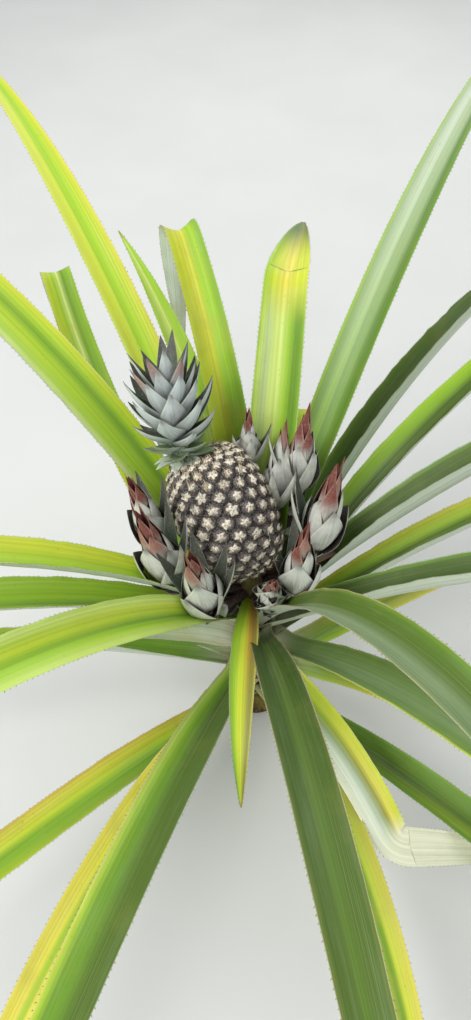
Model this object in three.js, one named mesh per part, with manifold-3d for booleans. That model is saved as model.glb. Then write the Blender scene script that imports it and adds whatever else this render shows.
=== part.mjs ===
// Pineapple plant: a rosette of long channelled leaves round a short stem, with one
// unripe fruit on a leaning stalk, its leafy crown and a ring of slips round its base.
// Millimetres, +Z up. The origin is the middle of the flat cut under the stem, at ground level.
import * as THREE from 'three';
import { mergeVertices } from 'three/addons/utils/BufferGeometryUtils.js';
import Module from 'manifold-3d';

const wasm = await Module();
wasm.setup();

const DEG = Math.PI / 180;
const GOLDEN_TURN = 137.508;
const GAP = 0.35;

// Stem and fruit stalk
const STEM_TOP = 268;
const STEM_FOOT_RADIUS = 44;
const STEM_RADIUS = 28;
const STEM_TOP_RADIUS = 17;
const STEM_FLARE = 18;
const STEM_SIDES = 18;
const STALK_RADIUS = 13;
const STALK_SIDES = 12;
const STALK_STEPS = 4;

// Fruit: a barrel with its eyes on a golden-turn spiral
const FRUIT_FOOT = new THREE.Vector3(-13, -5, 341);
const FRUIT_LENGTH = 148;
const FRUIT_WIDTH = 110;
const FRUIT_END_RADIUS = 21;
const FRUIT_LEAN_BACK = 33;
const FRUIT_LEAN_LEFT = 27;
const FRUIT_FULLNESS = 0.75;
const FRUIT_END_SLOPE = 82;
const EYES = 233;
const EYE_RISE = 4;

// Crown of short blades on the fruit
const CROWN_LENGTH = 125;
const CROWN_START = 3;
const CROWN_SPREAD = 0.5;
const CROWN_LEAN_BACK = 24;
const CROWN_LEAN_LEFT = 9;
const CROWN_SHIFT = -20;
const CROWN_CORE_RADIUS = 19;
const CROWN_SIDES = 8;
const CROWN_BLADES = 20;
const CROWN_BLADE_LENGTH = 72;
const CROWN_BLADE_WIDTH = 38;

// Slips: small shoots that leave the stalk under the fruit and stand up round it. Reach is
// the distance from the stalk and height the level, at the shoot's foot and at its tip.
const SLIP_START = 292;
const SLIP_BLADES = 6;
const SLIP_ELBOW = 0.25;
const SLIP_NECK_RADIUS = 7;
const SLIP_NECK_STEPS = 3;
const SLIP_SIDES = 6;
const SLIP_CORE_RADIUS = 13;
const SLIPS = [
  { name: 'slip_1', turn: 91, reach: 102, height: 420, tipReach: 112, tipHeight: 494, width: 34 },
  { name: 'slip_2', turn: 66, reach: 84, height: 368, tipReach: 92, tipHeight: 500, width: 36 },
  { name: 'slip_3', turn: 54, reach: 97, height: 396, tipReach: 103, tipHeight: 524, width: 44 },
  { name: 'slip_4', turn: 17, reach: 84, height: 352, tipReach: 98, tipHeight: 502, width: 46 },
  { name: 'slip_5', turn: -18, reach: 58, height: 322, tipReach: 62, tipHeight: 452, width: 44 },
  { name: 'slip_6', turn: -62, reach: 46, height: 330, tipReach: 58, tipHeight: 392, width: 42 },
  { name: 'slip_7', turn: 228, reach: 74, height: 342, tipReach: 98, tipHeight: 480, width: 50 },
  { name: 'slip_8', turn: 194, reach: 96, height: 352, tipReach: 122, tipHeight: 490, width: 48 },
  { name: 'slip_9', turn: 168, reach: 112, height: 366, tipReach: 138, tipHeight: 476, width: 44 },
];

// Leaves: rise is the slope at the stem and droop what the far end has lost of it, turn is
// the heading seen from above, anticlockwise from +X, and sway what the far end has turned.
// A folded leaf loses fold more of its slope, and turns by swing, over its last stretch, and
// what hangs beyond the fold, rest long, is a piece of its own.
const BLADE_STEPS = 10;
const LINE_STEPS = 100;
const DROOP_POWER = 1.5;
const BASE_SHARE = 0.58;
const WIDEST_AT = 0.32;
const MARGIN_THICKNESS = 2.2;
const THICKNESS_SHARE = 0.0112;
const CUP = 0.42;
const FOLD_LENGTH = 40;
const FOLD_RINGS = 5;
const FOLD_LOSS = 0.14;
const FOLD_CUP = 0.2;
const REST_DROOP = 18;
const LEAF_ACROSS = [-1, 0, 1];

// Outline of a short blade on the crown or a slip: how wide it is along its length
const BLADE_SHAPE = [
  { at: 0, wide: 0.8 },
  { at: 0.45, wide: 1 },
  { at: 1, wide: 0.07 },
];
const SHOOT_CUP = 0.34;

const LEAVES = [
  { name: 'leaf_left_2', turn: 198, rise: 48, droop: 72, sway: 5, length: 930, height: 247, width: 52 },
  { name: 'leaf_left_4', turn: 225, rise: 55, droop: 86, sway: 3, length: 900, height: 232, width: 46 },
  { name: 'leaf_left_1', turn: 146, rise: 54, droop: 67, sway: 0, length: 980, height: 232, width: 60 },
  {
    name: 'leaf_back_1', turn: 101, rise: 61, droop: 28, sway: 11, length: 500, height: 230, width: 46,
    fold: 115, swing: 0, rest: 190,
  },
  { name: 'leaf_right_1', turn: 60, rise: 56, droop: 62, sway: 0, length: 960, height: 226, width: 46 },
  { name: 'leaf_back_3', turn: 107, rise: 57, droop: 31, sway: 19, length: 510, height: 222, width: 38 },
  { name: 'leaf_front_1', turn: -61, rise: 68, droop: 116, sway: -6, length: 870, height: 222, width: 47 },
  { name: 'leaf_left_3', turn: 203, rise: 45, droop: 71, sway: 4, length: 940, height: 220, width: 52 },
  { name: 'leaf_right_4', turn: 16, rise: 46, droop: 69, sway: -5, length: 940, height: 220, width: 54 },
  {
    name: 'leaf_back_2', turn: 80, rise: 66, droop: 18, sway: 4, length: 440, height: 215, width: 57,
    fold: 54, swing: -4, rest: 176,
  },
  { name: 'leaf_front_2', turn: -85, rise: 56, droop: 92, sway: 5, length: 890, height: 205, width: 42 },
  { name: 'leaf_right_2', turn: 51, rise: 45, droop: 77, sway: -12, length: 900, height: 200, width: 46 },
  { name: 'leaf_back_4', turn: 122, rise: 54, droop: 62, sway: -1, length: 960, height: 200, width: 46 },
  { name: 'leaf_right_6', turn: -8, rise: 40, droop: 66, sway: -4, length: 890, height: 198, width: 52 },
  {
    name: 'leaf_back_5', turn: 74, rise: 58, droop: 27, sway: 1, length: 310, height: 186, width: 47,
    fold: 105, swing: 0, rest: 110,
  },
  { name: 'leaf_right_3', turn: 39, rise: 46, droop: 82, sway: -5, length: 930, height: 178, width: 50 },
  { name: 'leaf_right_7', turn: -50, rise: 50, droop: 87, sway: -5, length: 840, height: 165, width: 50 },
  { name: 'leaf_right_5', turn: 12, rise: 42, droop: 59, sway: -3, length: 890, height: 158, width: 52 },
  { name: 'leaf_front_3', turn: -109, rise: 44, droop: 71, sway: 1, length: 940, height: 140, width: 47 },
  {
    name: 'leaf_front_4', turn: -57, rise: 31, droop: 52, sway: -9, length: 330, height: 106, width: 51,
    fold: 2, swing: 71, rest: 270,
  },
  {
    name: 'leaf_back_6', turn: 138, rise: 39, droop: 0, sway: -28, length: 615, height: 102, width: 46,
    fold: 120, swing: 0, rest: 150,
  },
  { name: 'leaf_left_5', turn: 188, rise: 28, droop: 59, sway: 0, length: 900, height: 88, width: 46 },
  { name: 'leaf_front_6', turn: -123, rise: 28, droop: 66, sway: 15, length: 800, height: 70, width: 44 },
  { name: 'leaf_front_5', turn: -66, rise: 34, droop: 97, sway: -20, length: 730, height: 58, width: 44 },
  { name: 'leaf_right_8', turn: -44, rise: 23, droop: 55, sway: -1, length: 910, height: 34, width: 50 },
  { name: 'leaf_front_7', turn: -132, rise: 32, droop: 52, sway: -7, length: 900, height: 28, width: 48 },
  { name: 'leaf_low_1', turn: 95, rise: 35, droop: 45, sway: 0, length: 330, height: 120, width: 38 },
  { name: 'leaf_low_2', turn: 60, rise: 25, droop: 50, sway: 0, length: 380, height: 70, width: 40 },
  { name: 'leaf_low_3', turn: 22, rise: 22, droop: 50, sway: 5, length: 420, height: 60, width: 42 },
  { name: 'leaf_low_4', turn: -25, rise: 25, droop: 55, sway: 0, length: 300, height: 110, width: 38 },
  { name: 'leaf_low_5', turn: 165, rise: 26, droop: 50, sway: 0, length: 360, height: 90, width: 40 },
  { name: 'leaf_low_6', turn: 190, rise: 40, droop: 45, sway: 0, length: 210, height: 150, width: 38 },
  { name: 'leaf_low_7', turn: 128, rise: 22, droop: 45, sway: 0, length: 300, height: 50, width: 40 },
];
const STALK_LEAVES = [
  { name: 'stalk_leaf_1', turn: -98, rise: 25, droop: 70, sway: 10, length: 272, height: 283, width: 30 },
  { name: 'stalk_leaf_2', turn: 140, rise: 40, droop: 60, sway: 0, length: 130, height: 282, width: 26 },
  { name: 'stalk_leaf_3', turn: 20, rise: 40, droop: 60, sway: 0, length: 120, height: 278, width: 26 },
];

function direction(turn, rise) {
  return new THREE.Vector3(
    Math.cos(rise * DEG) * Math.cos(turn * DEG),
    Math.cos(rise * DEG) * Math.sin(turn * DEG),
    Math.sin(rise * DEG),
  );
}

// The stem and the stalk share one axis, which leans over towards the fruit's foot.
function axisPoint(z) {
  const share = (z / FRUIT_FOOT.z) ** 2;
  return new THREE.Vector3(FRUIT_FOOT.x * share, FRUIT_FOOT.y * share, z);
}

function axisRadius(z) {
  if (z > STEM_TOP) {
    return STALK_RADIUS;
  }
  const flare = (STEM_FOOT_RADIUS - STEM_RADIUS) * Math.exp(-z / STEM_FLARE);
  return THREE.MathUtils.lerp(STEM_RADIUS, STEM_TOP_RADIUS, (z / STEM_TOP) ** 2) + flare;
}

// A closed skin from points and faces, with the faces turned outwards.
function closedGeometry(points, index) {
  let volume = 0;
  for (let i = 0; i < index.length; i += 3) {
    volume += points[index[i]].dot(points[index[i + 1]].clone().cross(points[index[i + 2]]));
  }
  const geometry = new THREE.BufferGeometry();
  geometry.setAttribute('position', new THREE.Float32BufferAttribute(points.flatMap((p) => p.toArray()), 3));
  geometry.setIndex(volume < 0 ? index.slice().reverse() : index);
  return geometry;
}

// Joins rings of points, all with the same count, into one closed skin with flat ends.
// A paired end is filled between its two faces, for a thin section that isn't convex.
function loft(rings, paired = false) {
  const count = rings[0].length;
  const index = [];
  for (let r = 0; r < rings.length - 1; r += 1) {
    for (let i = 0; i < count; i += 1) {
      const a = r * count + i;
      const b = r * count + (i + 1) % count;
      index.push(a, b, b + count, a, b + count, a + count);
    }
  }
  const last = (rings.length - 1) * count;
  if (paired) {
    for (let i = 0; i < count / 2 - 1; i += 1) {
      const far = count - 1 - i;
      index.push(i, far, far - 1, i, far - 1, i + 1);
      index.push(last + i, last + far - 1, last + far, last + i, last + i + 1, last + far - 1);
    }
  } else {
    for (let i = 1; i < count - 1; i += 1) {
      index.push(0, i + 1, i);
      index.push(last, last + i, last + i + 1);
    }
  }
  return closedGeometry(rings.flat(), index);
}

function circleRing(centre, side, up, radius, sides) {
  const ring = [];
  for (let i = 0; i < sides; i += 1) {
    const angle = (2 * Math.PI * i) / sides;
    ring.push(centre.clone()
      .addScaledVector(side, Math.cos(angle) * radius)
      .addScaledVector(up, Math.sin(angle) * radius));
  }
  return ring;
}

function toSolid(geometry) {
  const merged = mergeVertices(geometry, 1e-4);
  return new wasm.Manifold(new wasm.Mesh({
    numProp: 3,
    vertProperties: new Float32Array(merged.attributes.position.array),
    triVerts: new Uint32Array(merged.index.array),
  }));
}

function toGeometry(solid) {
  const mesh = solid.getMesh();
  const geometry = new THREE.BufferGeometry();
  geometry.setAttribute('position', new THREE.BufferAttribute(mesh.vertProperties, 3));
  geometry.setIndex(new THREE.BufferAttribute(mesh.triVerts, 1));
  return geometry;
}

function largestPiece(solid) {
  return solid.decompose().reduce((best, piece) => (piece.volume() > best.volume() ? piece : best));
}

function meets(solid, other) {
  const a = solid.boundingBox();
  const b = other.boundingBox();
  return [0, 1, 2].every((i) => a.min[i] < b.max[i] && b.min[i] < a.max[i]);
}

// Cuts a solid clear of its neighbours and keeps its main piece.
function cutClear(solid, keepOuts) {
  let cut = solid;
  for (const other of keepOuts) {
    if (meets(cut, other)) {
      cut = cut.subtract(other);
    }
  }
  return largestPiece(cut);
}

// Stem, from its flared foot to the top leaf
function stemGeometry(grow = 0) {
  const east = new THREE.Vector3(1, 0, 0);
  const north = new THREE.Vector3(0, 1, 0);
  const levels = [0, 7, 16, 30, 50, 95, 150, 210, STEM_TOP];
  return loft(levels.map((z) => circleRing(axisPoint(z), east, north, axisRadius(z) + grow, STEM_SIDES)));
}

const leanAxis = (left, back) => new THREE.Vector3(-Math.tan(left * DEG), Math.tan(back * DEG), 1).normalize();
const turnTo = (axis) => new THREE.Quaternion().setFromUnitVectors(new THREE.Vector3(0, 0, 1), axis);
const fruitAxis = leanAxis(FRUIT_LEAN_LEFT, FRUIT_LEAN_BACK);
const fruitTurn = turnTo(fruitAxis);
const crownFoot = FRUIT_FOOT.clone().addScaledVector(fruitAxis, FRUIT_LENGTH);
crownFoot.x += CROWN_SHIFT;
const crownTurn = turnTo(leanAxis(CROWN_LEAN_LEFT, CROWN_LEAN_BACK));

// Stalk, from the stem's top to the fruit's foot, turning from level to the fruit's tilt
function stalkGeometry(grow = 0) {
  const rings = [];
  for (let i = 0; i <= STALK_STEPS; i += 1) {
    const share = i / STALK_STEPS;
    const turn = new THREE.Quaternion().slerp(fruitTurn, share);
    const top = FRUIT_FOOT.clone().addScaledVector(fruitAxis, -GAP - EYE_RISE / 2);
    const centre = axisPoint(STEM_TOP + GAP).lerp(top, share);
    const side = new THREE.Vector3(1, 0, 0).applyQuaternion(turn);
    const up = new THREE.Vector3(0, 1, 0).applyQuaternion(turn);
    rings.push(circleRing(centre, side, up, STALK_RADIUS + grow, STALK_SIDES));
  }
  return loft(rings);
}

// A point of the fruit's skin: slope runs from -90 at its foot to 90 at its top.
function fruitPoint(turn, slope, out) {
  const ring = Math.cos(slope * DEG) ** FRUIT_FULLNESS;
  const radius = FRUIT_END_RADIUS + (FRUIT_WIDTH / 2 - FRUIT_END_RADIUS) * ring;
  const height = (FRUIT_LENGTH / 2) * (1 + Math.sin(slope * DEG));
  return new THREE.Vector3(
    (radius + out * Math.cos(slope * DEG)) * Math.cos(turn * DEG),
    (radius + out * Math.cos(slope * DEG)) * Math.sin(turn * DEG),
    height + out * Math.sin(slope * DEG),
  );
}

// The eyes stand on a spiral of golden turns, where each has its neighbours 8, 13 and 21
// places on. Each is a low six-sided point, and its sides meet the next one's in a valley.
function fruitGeometry(grow = 0) {
  const slopeOf = (place) => THREE.MathUtils.lerp(-FRUIT_END_SLOPE, FRUIT_END_SLOPE, (place + 0.5) / EYES);
  const points = [];
  for (let k = 0; k < EYES; k += 1) {
    points.push(fruitPoint(-GOLDEN_TURN * k, slopeOf(k), EYE_RISE / 2 + grow));
  }
  const valleyLeft = new Map();
  const addTriangle = (corners, k, placeOn, turnOn) => {
    points.push(fruitPoint(-GOLDEN_TURN * k + turnOn, slopeOf(k + placeOn), -EYE_RISE / 2 + grow));
    corners.forEach((a, i) => valleyLeft.set(`${a} ${corners[(i + 1) % 3]}`, points.length - 1));
  };
  const [turn8, turn13, turn21] = [8, 13, 21].map((n) => -(((GOLDEN_TURN * n + 180) % 360) - 180));
  for (let k = 0; k + 21 < EYES; k += 1) {
    addTriangle([k, k + 21, k + 8], k, (8 + 21) / 3, (turn8 + turn21) / 3);
    addTriangle([k, k + 13, k + 21], k, (13 + 21) / 3, (turn13 + turn21) / 3);
  }
  points.push(new THREE.Vector3(0, 0, -grow), new THREE.Vector3(0, 0, FRUIT_LENGTH + grow));
  const index = [];
  for (const [edge, left] of valleyLeft) {
    const [a, b] = edge.split(' ').map(Number);
    const right = valleyLeft.get(`${b} ${a}`);
    if (right === undefined) {
      index.push(a, b, left, b, a, points.length - (a < EYES / 2 ? 2 : 1));
    } else {
      index.push(a, right, left);
    }
  }
  return closedGeometry(points, index);
}

function stand(geometry, turn, foot) {
  return geometry.applyQuaternion(turn).translate(foot.x, foot.y, foot.z);
}

// A short pointed blade of a shoot, cupped round the shoot's axis and curling as it goes.
function shootBlade({ foot, axis, out, lean, curl, length, width, thick }) {
  const side = axis.clone().cross(out).normalize();
  const point = foot.clone();
  const rings = BLADE_SHAPE.map(({ at, wide }, i) => {
    const along = (at - (i ? BLADE_SHAPE[i - 1].at : 0)) * length;
    const angle = (lean + curl * at) * DEG;
    const ahead = axis.clone().multiplyScalar(Math.cos(angle)).addScaledVector(out, Math.sin(angle));
    const inward = axis.clone().multiplyScalar(Math.sin(angle)).addScaledVector(out, -Math.cos(angle));
    point.addScaledVector(ahead, along);
    const half = (width / 2) * wide;
    const section = [[-half, half * SHOOT_CUP], [half, half * SHOOT_CUP], [0, -thick * wide]];
    return section.map(([u, v]) => point.clone().addScaledVector(side, u).addScaledVector(inward, v));
  });
  return toSolid(loft(rings));
}

function aroundAxis(axis, turn) {
  const level = new THREE.Vector3(0, 0, 1).cross(axis);
  const first = level.lengthSq() > 1e-6 ? level.normalize() : new THREE.Vector3(1, 0, 0);
  return first.applyAxisAngle(axis, turn * DEG);
}

// Crown: a tapering core with blades on a golden-turn spiral, flat and short at its foot,
// upright towards its tip.
function crownSolid() {
  const core = [-0.08, 0.3, 0.7].map((share) => circleRing(
    new THREE.Vector3(0, 0, share * CROWN_LENGTH),
    new THREE.Vector3(1, 0, 0),
    new THREE.Vector3(0, 1, 0),
    CROWN_CORE_RADIUS * (1 - Math.max(0, share) * 1.2),
    CROWN_SIDES,
  ));
  let crown = toSolid(loft(core));
  for (let i = 0; i < CROWN_BLADES; i += 1) {
    const share = i / (CROWN_BLADES - 1);
    const axis = new THREE.Vector3(0, 0, 1);
    const out = aroundAxis(axis, GOLDEN_TURN * i);
    const level = CROWN_START + share * CROWN_LENGTH * CROWN_SPREAD;
    crown = crown.add(shootBlade({
      foot: new THREE.Vector3(0, 0, level).addScaledVector(out, CROWN_CORE_RADIUS * 0.45 * (1 - share)),
      axis,
      out,
      lean: THREE.MathUtils.lerp(86, 16, share ** 0.9),
      curl: THREE.MathUtils.lerp(-40, -2, share),
      length: CROWN_BLADE_LENGTH * (0.75 + 0.6 * share - 0.3 * share * share),
      width: CROWN_BLADE_WIDTH * (1 - 0.25 * share),
      thick: 3,
    }));
  }
  return crown;
}

// A slip: a neck that bows out from the stalk, then a straight shoot with blades hugging it.
function slipSolid(slip) {
  const heading = direction(slip.turn, 0);
  const stalk = axisPoint(SLIP_START);
  const foot = FRUIT_FOOT.clone().setZ(slip.height).addScaledVector(heading, slip.reach);
  const tip = FRUIT_FOOT.clone().setZ(slip.tipHeight).addScaledVector(heading, slip.tipReach);
  const axis = tip.clone().sub(foot).normalize();
  const length = foot.distanceTo(tip);
  const elbow = foot.clone().setZ(THREE.MathUtils.lerp(SLIP_START, foot.z, SLIP_ELBOW));
  const neck = new THREE.QuadraticBezierCurve3(stalk, elbow, foot);
  const side = new THREE.Vector3(-heading.y, heading.x, 0);
  const rings = [];
  for (let i = 0; i < SLIP_NECK_STEPS; i += 1) {
    const t = i / SLIP_NECK_STEPS;
    const up = neck.getTangent(t).cross(side).normalize();
    rings.push(circleRing(neck.getPoint(t), side, up, SLIP_NECK_RADIUS * (1 + 0.3 * t), SLIP_SIDES));
  }
  for (const [share, radius] of [[0, 1], [0.14, 1.15], [0.4, 0.9], [0.72, 0.25]]) {
    const up = axis.clone().cross(side).normalize();
    const centre = foot.clone().addScaledVector(axis, share * length);
    rings.push(circleRing(centre, side, up, SLIP_CORE_RADIUS * (slip.width / 40) * radius, SLIP_SIDES));
  }
  let shoot = toSolid(loft(rings));
  for (let i = 0; i < SLIP_BLADES; i += 1) {
    const share = i / (SLIP_BLADES - 1);
    const out = aroundAxis(axis, GOLDEN_TURN * i + slip.turn);
    shoot = shoot.add(shootBlade({
      foot: foot.clone().addScaledVector(axis, length * (0.04 + 0.3 * share)).addScaledVector(out, 3),
      axis,
      out,
      lean: THREE.MathUtils.lerp(50, 6, share),
      curl: THREE.MathUtils.lerp(-52, -2, share),
      length: length * THREE.MathUtils.lerp(0.68, 0.7, share),
      width: slip.width * (0.8 - 0.15 * share),
      thick: 2.4,
    }));
  }
  return shoot;
}

// The leaf rule: a centreline from the stem whose slope falls off towards the far end, in
// small steps, with the section's side and up directions at each step.
function leafLine(leaf) {
  const line = [];
  const start = axisPoint(leaf.height).addScaledVector(direction(leaf.turn, 0), axisRadius(leaf.height) - 4);
  const point = leaf.from ? leaf.from.clone() : start;
  for (let i = 0; i <= LINE_STEPS; i += 1) {
    const s = i / LINE_STEPS;
    const bent = leaf.fold === undefined ? 0
      : THREE.MathUtils.smoothstep(s * leaf.length, leaf.length - FOLD_LENGTH, leaf.length);
    const turn = leaf.turn + leaf.sway * s + bent * (leaf.swing ?? 0);
    const rise = leaf.rise - leaf.droop * s ** DROOP_POWER - bent * (leaf.fold ?? 0);
    const ahead = direction(turn, rise);
    const side = new THREE.Vector3(Math.sin(turn * DEG), -Math.cos(turn * DEG), 0);
    line.push({ s, point: point.clone(), side, up: side.clone().cross(ahead), ahead, turn, rise });
    point.addScaledVector(ahead, leaf.length / LINE_STEPS);
  }
  return line;
}

// Share of its full width that a leaf has: narrow at the stem, widest a third of the way
// out, and drawn out to a long tip. A folded leaf is still broad where it folds.
function widthShare(leaf, s) {
  if (leaf.from) {
    return THREE.MathUtils.lerp(leaf.broad, 0.05, s ** 1.3);
  }
  const base = THREE.MathUtils.lerp(BASE_SHARE, 1, THREE.MathUtils.smoothstep(s, 0, WIDEST_AT));
  const lost = leaf.fold === undefined ? 0.95 : FOLD_LOSS;
  return base * (1 - lost * (Math.max(0, s - WIDEST_AT) / (1 - WIDEST_AT)) ** 2.3);
}

// Channelled section of 6 points: thick along its middle, thin at its raised margins.
function leafSection(frame, leaf, grow) {
  const share = widthShare(leaf, frame.s);
  const half = (leaf.width / 2) * share;
  const full = Math.max(leaf.length, leaf.wholeLength ?? 0) * THICKNESS_SHARE;
  const thick = full * (1 - 0.45 * frame.s) * share ** 0.4;
  const margin = Math.min(MARGIN_THICKNESS, thick * 0.5);
  const cup = leaf.from ? FOLD_CUP : CUP * (1 - 0.55 * frame.s);
  const bed = (u) => cup * half * u * u;
  const top = LEAF_ACROSS.map((u) => [u * (half + grow), bed(u) + grow]);
  const bottom = LEAF_ACROSS.map((u) => [
    -u * (half + grow),
    bed(u) - grow - margin - (thick - margin) * (1 - u * u),
  ]);
  return [...top, ...bottom].map(([u, v]) => frame.point.clone()
    .addScaledVector(frame.side, u)
    .addScaledVector(frame.up, v));
}

function leafSolid(leaf, grow = 0) {
  const line = leafLine(leaf);
  const stops = [];
  for (let i = 0; i <= BLADE_STEPS; i += 1) {
    stops.push(Math.round((i / BLADE_STEPS) * LINE_STEPS));
  }
  if (leaf.fold !== undefined) {
    for (let i = 0; i < FOLD_RINGS; i += 1) {
      stops.push(Math.round(LINE_STEPS * (1 - ((i + 0.5) / FOLD_RINGS) * (FOLD_LENGTH / leaf.length))));
    }
  }
  const wanted = [...new Set(stops)].sort((a, b) => a - b);
  return toSolid(loft(wanted.map((i) => leafSection(line[i], leaf, grow)), true));
}

// What hangs beyond a fold, going on from the leaf's last section.
function restOf(leaf) {
  const end = leafLine(leaf)[LINE_STEPS];
  return {
    name: `${leaf.name}_end`,
    from: end.point.clone().addScaledVector(end.ahead, GAP),
    turn: end.turn,
    rise: end.rise,
    droop: REST_DROOP,
    sway: 0,
    length: leaf.rest,
    wholeLength: leaf.length,
    width: leaf.width,
    broad: widthShare(leaf, 1),
  };
}

const plant = new THREE.Group();

function place(name, geometry, color, roughness) {
  const mesh = new THREE.Mesh(geometry, new THREE.MeshStandardMaterial({ color, roughness, metalness: 0 }));
  mesh.name = name;
  plant.add(mesh);
}

place('stem', stemGeometry(), 0x8a7a55, 0.9);
place('fruit_stalk', stalkGeometry(), 0x8f8d6a, 0.7);
place('fruit', stand(fruitGeometry(), fruitTurn, FRUIT_FOOT), 0x4a3f3c, 0.6);

const keepOuts = [
  toSolid(stemGeometry(GAP)),
  toSolid(stalkGeometry(GAP)),
  toSolid(stand(fruitGeometry(GAP), fruitTurn, FRUIT_FOOT)),
];

const crown = toSolid(stand(toGeometry(crownSolid()), crownTurn, crownFoot));
place('crown', toGeometry(cutClear(crown, keepOuts)), 0x9fb0a4, 0.6);
keepOuts.push(crown);

// The top leaf is first, and each later one is cut clear of those before it.
for (const leaf of [...STALK_LEAVES, ...LEAVES]) {
  const solid = cutClear(leafSolid(leaf), keepOuts);
  place(leaf.name, toGeometry(solid), 0x6f9a2e, 0.55);
  keepOuts.push(leafSolid(leaf, GAP));
  if (leaf.fold !== undefined) {
    const rest = restOf(leaf);
    place(rest.name, toGeometry(cutClear(leafSolid(rest), keepOuts.slice(0, -1))), 0x93a238, 0.6);
    keepOuts.push(leafSolid(rest, GAP));
  }
}

for (const slip of SLIPS) {
  const whole = slipSolid(slip);
  place(slip.name, toGeometry(cutClear(whole, keepOuts)), 0xb4bfae, 0.65);
  keepOuts.push(whole);
}

export default plant;
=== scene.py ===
"""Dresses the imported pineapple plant: channelled leaves, fruit, crown, slips and stem."""
import math

import bpy
import numpy as np
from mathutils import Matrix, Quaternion, Vector


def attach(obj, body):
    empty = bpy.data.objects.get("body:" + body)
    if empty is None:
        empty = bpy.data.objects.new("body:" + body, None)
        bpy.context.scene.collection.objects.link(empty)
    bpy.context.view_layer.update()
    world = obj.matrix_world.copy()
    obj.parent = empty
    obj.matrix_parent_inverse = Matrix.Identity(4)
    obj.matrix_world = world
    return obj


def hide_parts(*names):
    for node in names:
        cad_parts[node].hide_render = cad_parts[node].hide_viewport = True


bl_info = {
    "name": "Pineapple plant",
    "version": (1, 0, 0),
    "blender": (4, 5, 0),
    "location": "3D View > Sidebar > Plant",
    "description": "Dresses the pineapple plant with leaves, fruit, crown, slips and stem",
    "category": "Object",
}

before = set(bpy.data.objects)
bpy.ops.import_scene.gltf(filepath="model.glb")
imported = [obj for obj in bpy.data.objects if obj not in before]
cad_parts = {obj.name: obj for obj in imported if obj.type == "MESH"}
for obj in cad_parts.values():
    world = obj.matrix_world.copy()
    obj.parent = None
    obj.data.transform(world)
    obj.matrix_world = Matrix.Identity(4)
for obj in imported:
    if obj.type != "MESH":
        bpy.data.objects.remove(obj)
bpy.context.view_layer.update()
MM = 0.001
GOLDEN_TURN = 137.508
STEM_SEED, SHADE_SEED, CROWN_SEED, EYE_SEED, FIRST_SLIP_SEED = 2, 8, 11, 21, 40
EAST, NORTH, UP = Vector((1, 0, 0)), Vector((0, 1, 0)), Vector((0, 0, 1))

# The same numbers as the part's source, in millimetres and degrees
STEM_TOP = 268
STEM_FOOT_RADIUS = 44
STEM_RADIUS = 28
STEM_TOP_RADIUS = 17
STEM_FLARE = 18
STALK_RADIUS = 13
FRUIT_FOOT = Vector((-13, -5, 341))
FRUIT_LENGTH = 148
FRUIT_WIDTH = 110
FRUIT_END_RADIUS = 21
FRUIT_FULLNESS = 0.75
FRUIT_END_SLOPE = 82
EYES = 233
CROWN_LENGTH = 125
CROWN_SPREAD = 0.5
SLIP_START = 292
SLIP_ELBOW = 0.25
LEAF_SINK = 4
LINE_STEPS = 100
DROOP_POWER = 1.5
BASE_SHARE = 0.58
WIDEST_AT = 0.32
TIP_LOSS = 0.95
TAPER = 2.3
CHANNEL_LOSS = 0.55
LENGTH_THINNING = 0.45
NARROW_THINNING = 0.4
FOLD_LENGTH = 40
FOLD_LOSS = 0.14
FOLD_GAP = 0.35
REST_DROOP = 18
REST_TIP_SHARE = 0.05
REST_TAPER = 1.3


def lean_axis(left, back):
    return Vector((-math.tan(math.radians(left)), math.tan(math.radians(back)), 1)).normalized()


FRUIT_AXIS = lean_axis(27, 33)
CROWN_AXIS = lean_axis(9, 24)
CROWN_FOOT = FRUIT_FOOT + FRUIT_AXIS * FRUIT_LENGTH + Vector((-20, 0, 0))

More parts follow.
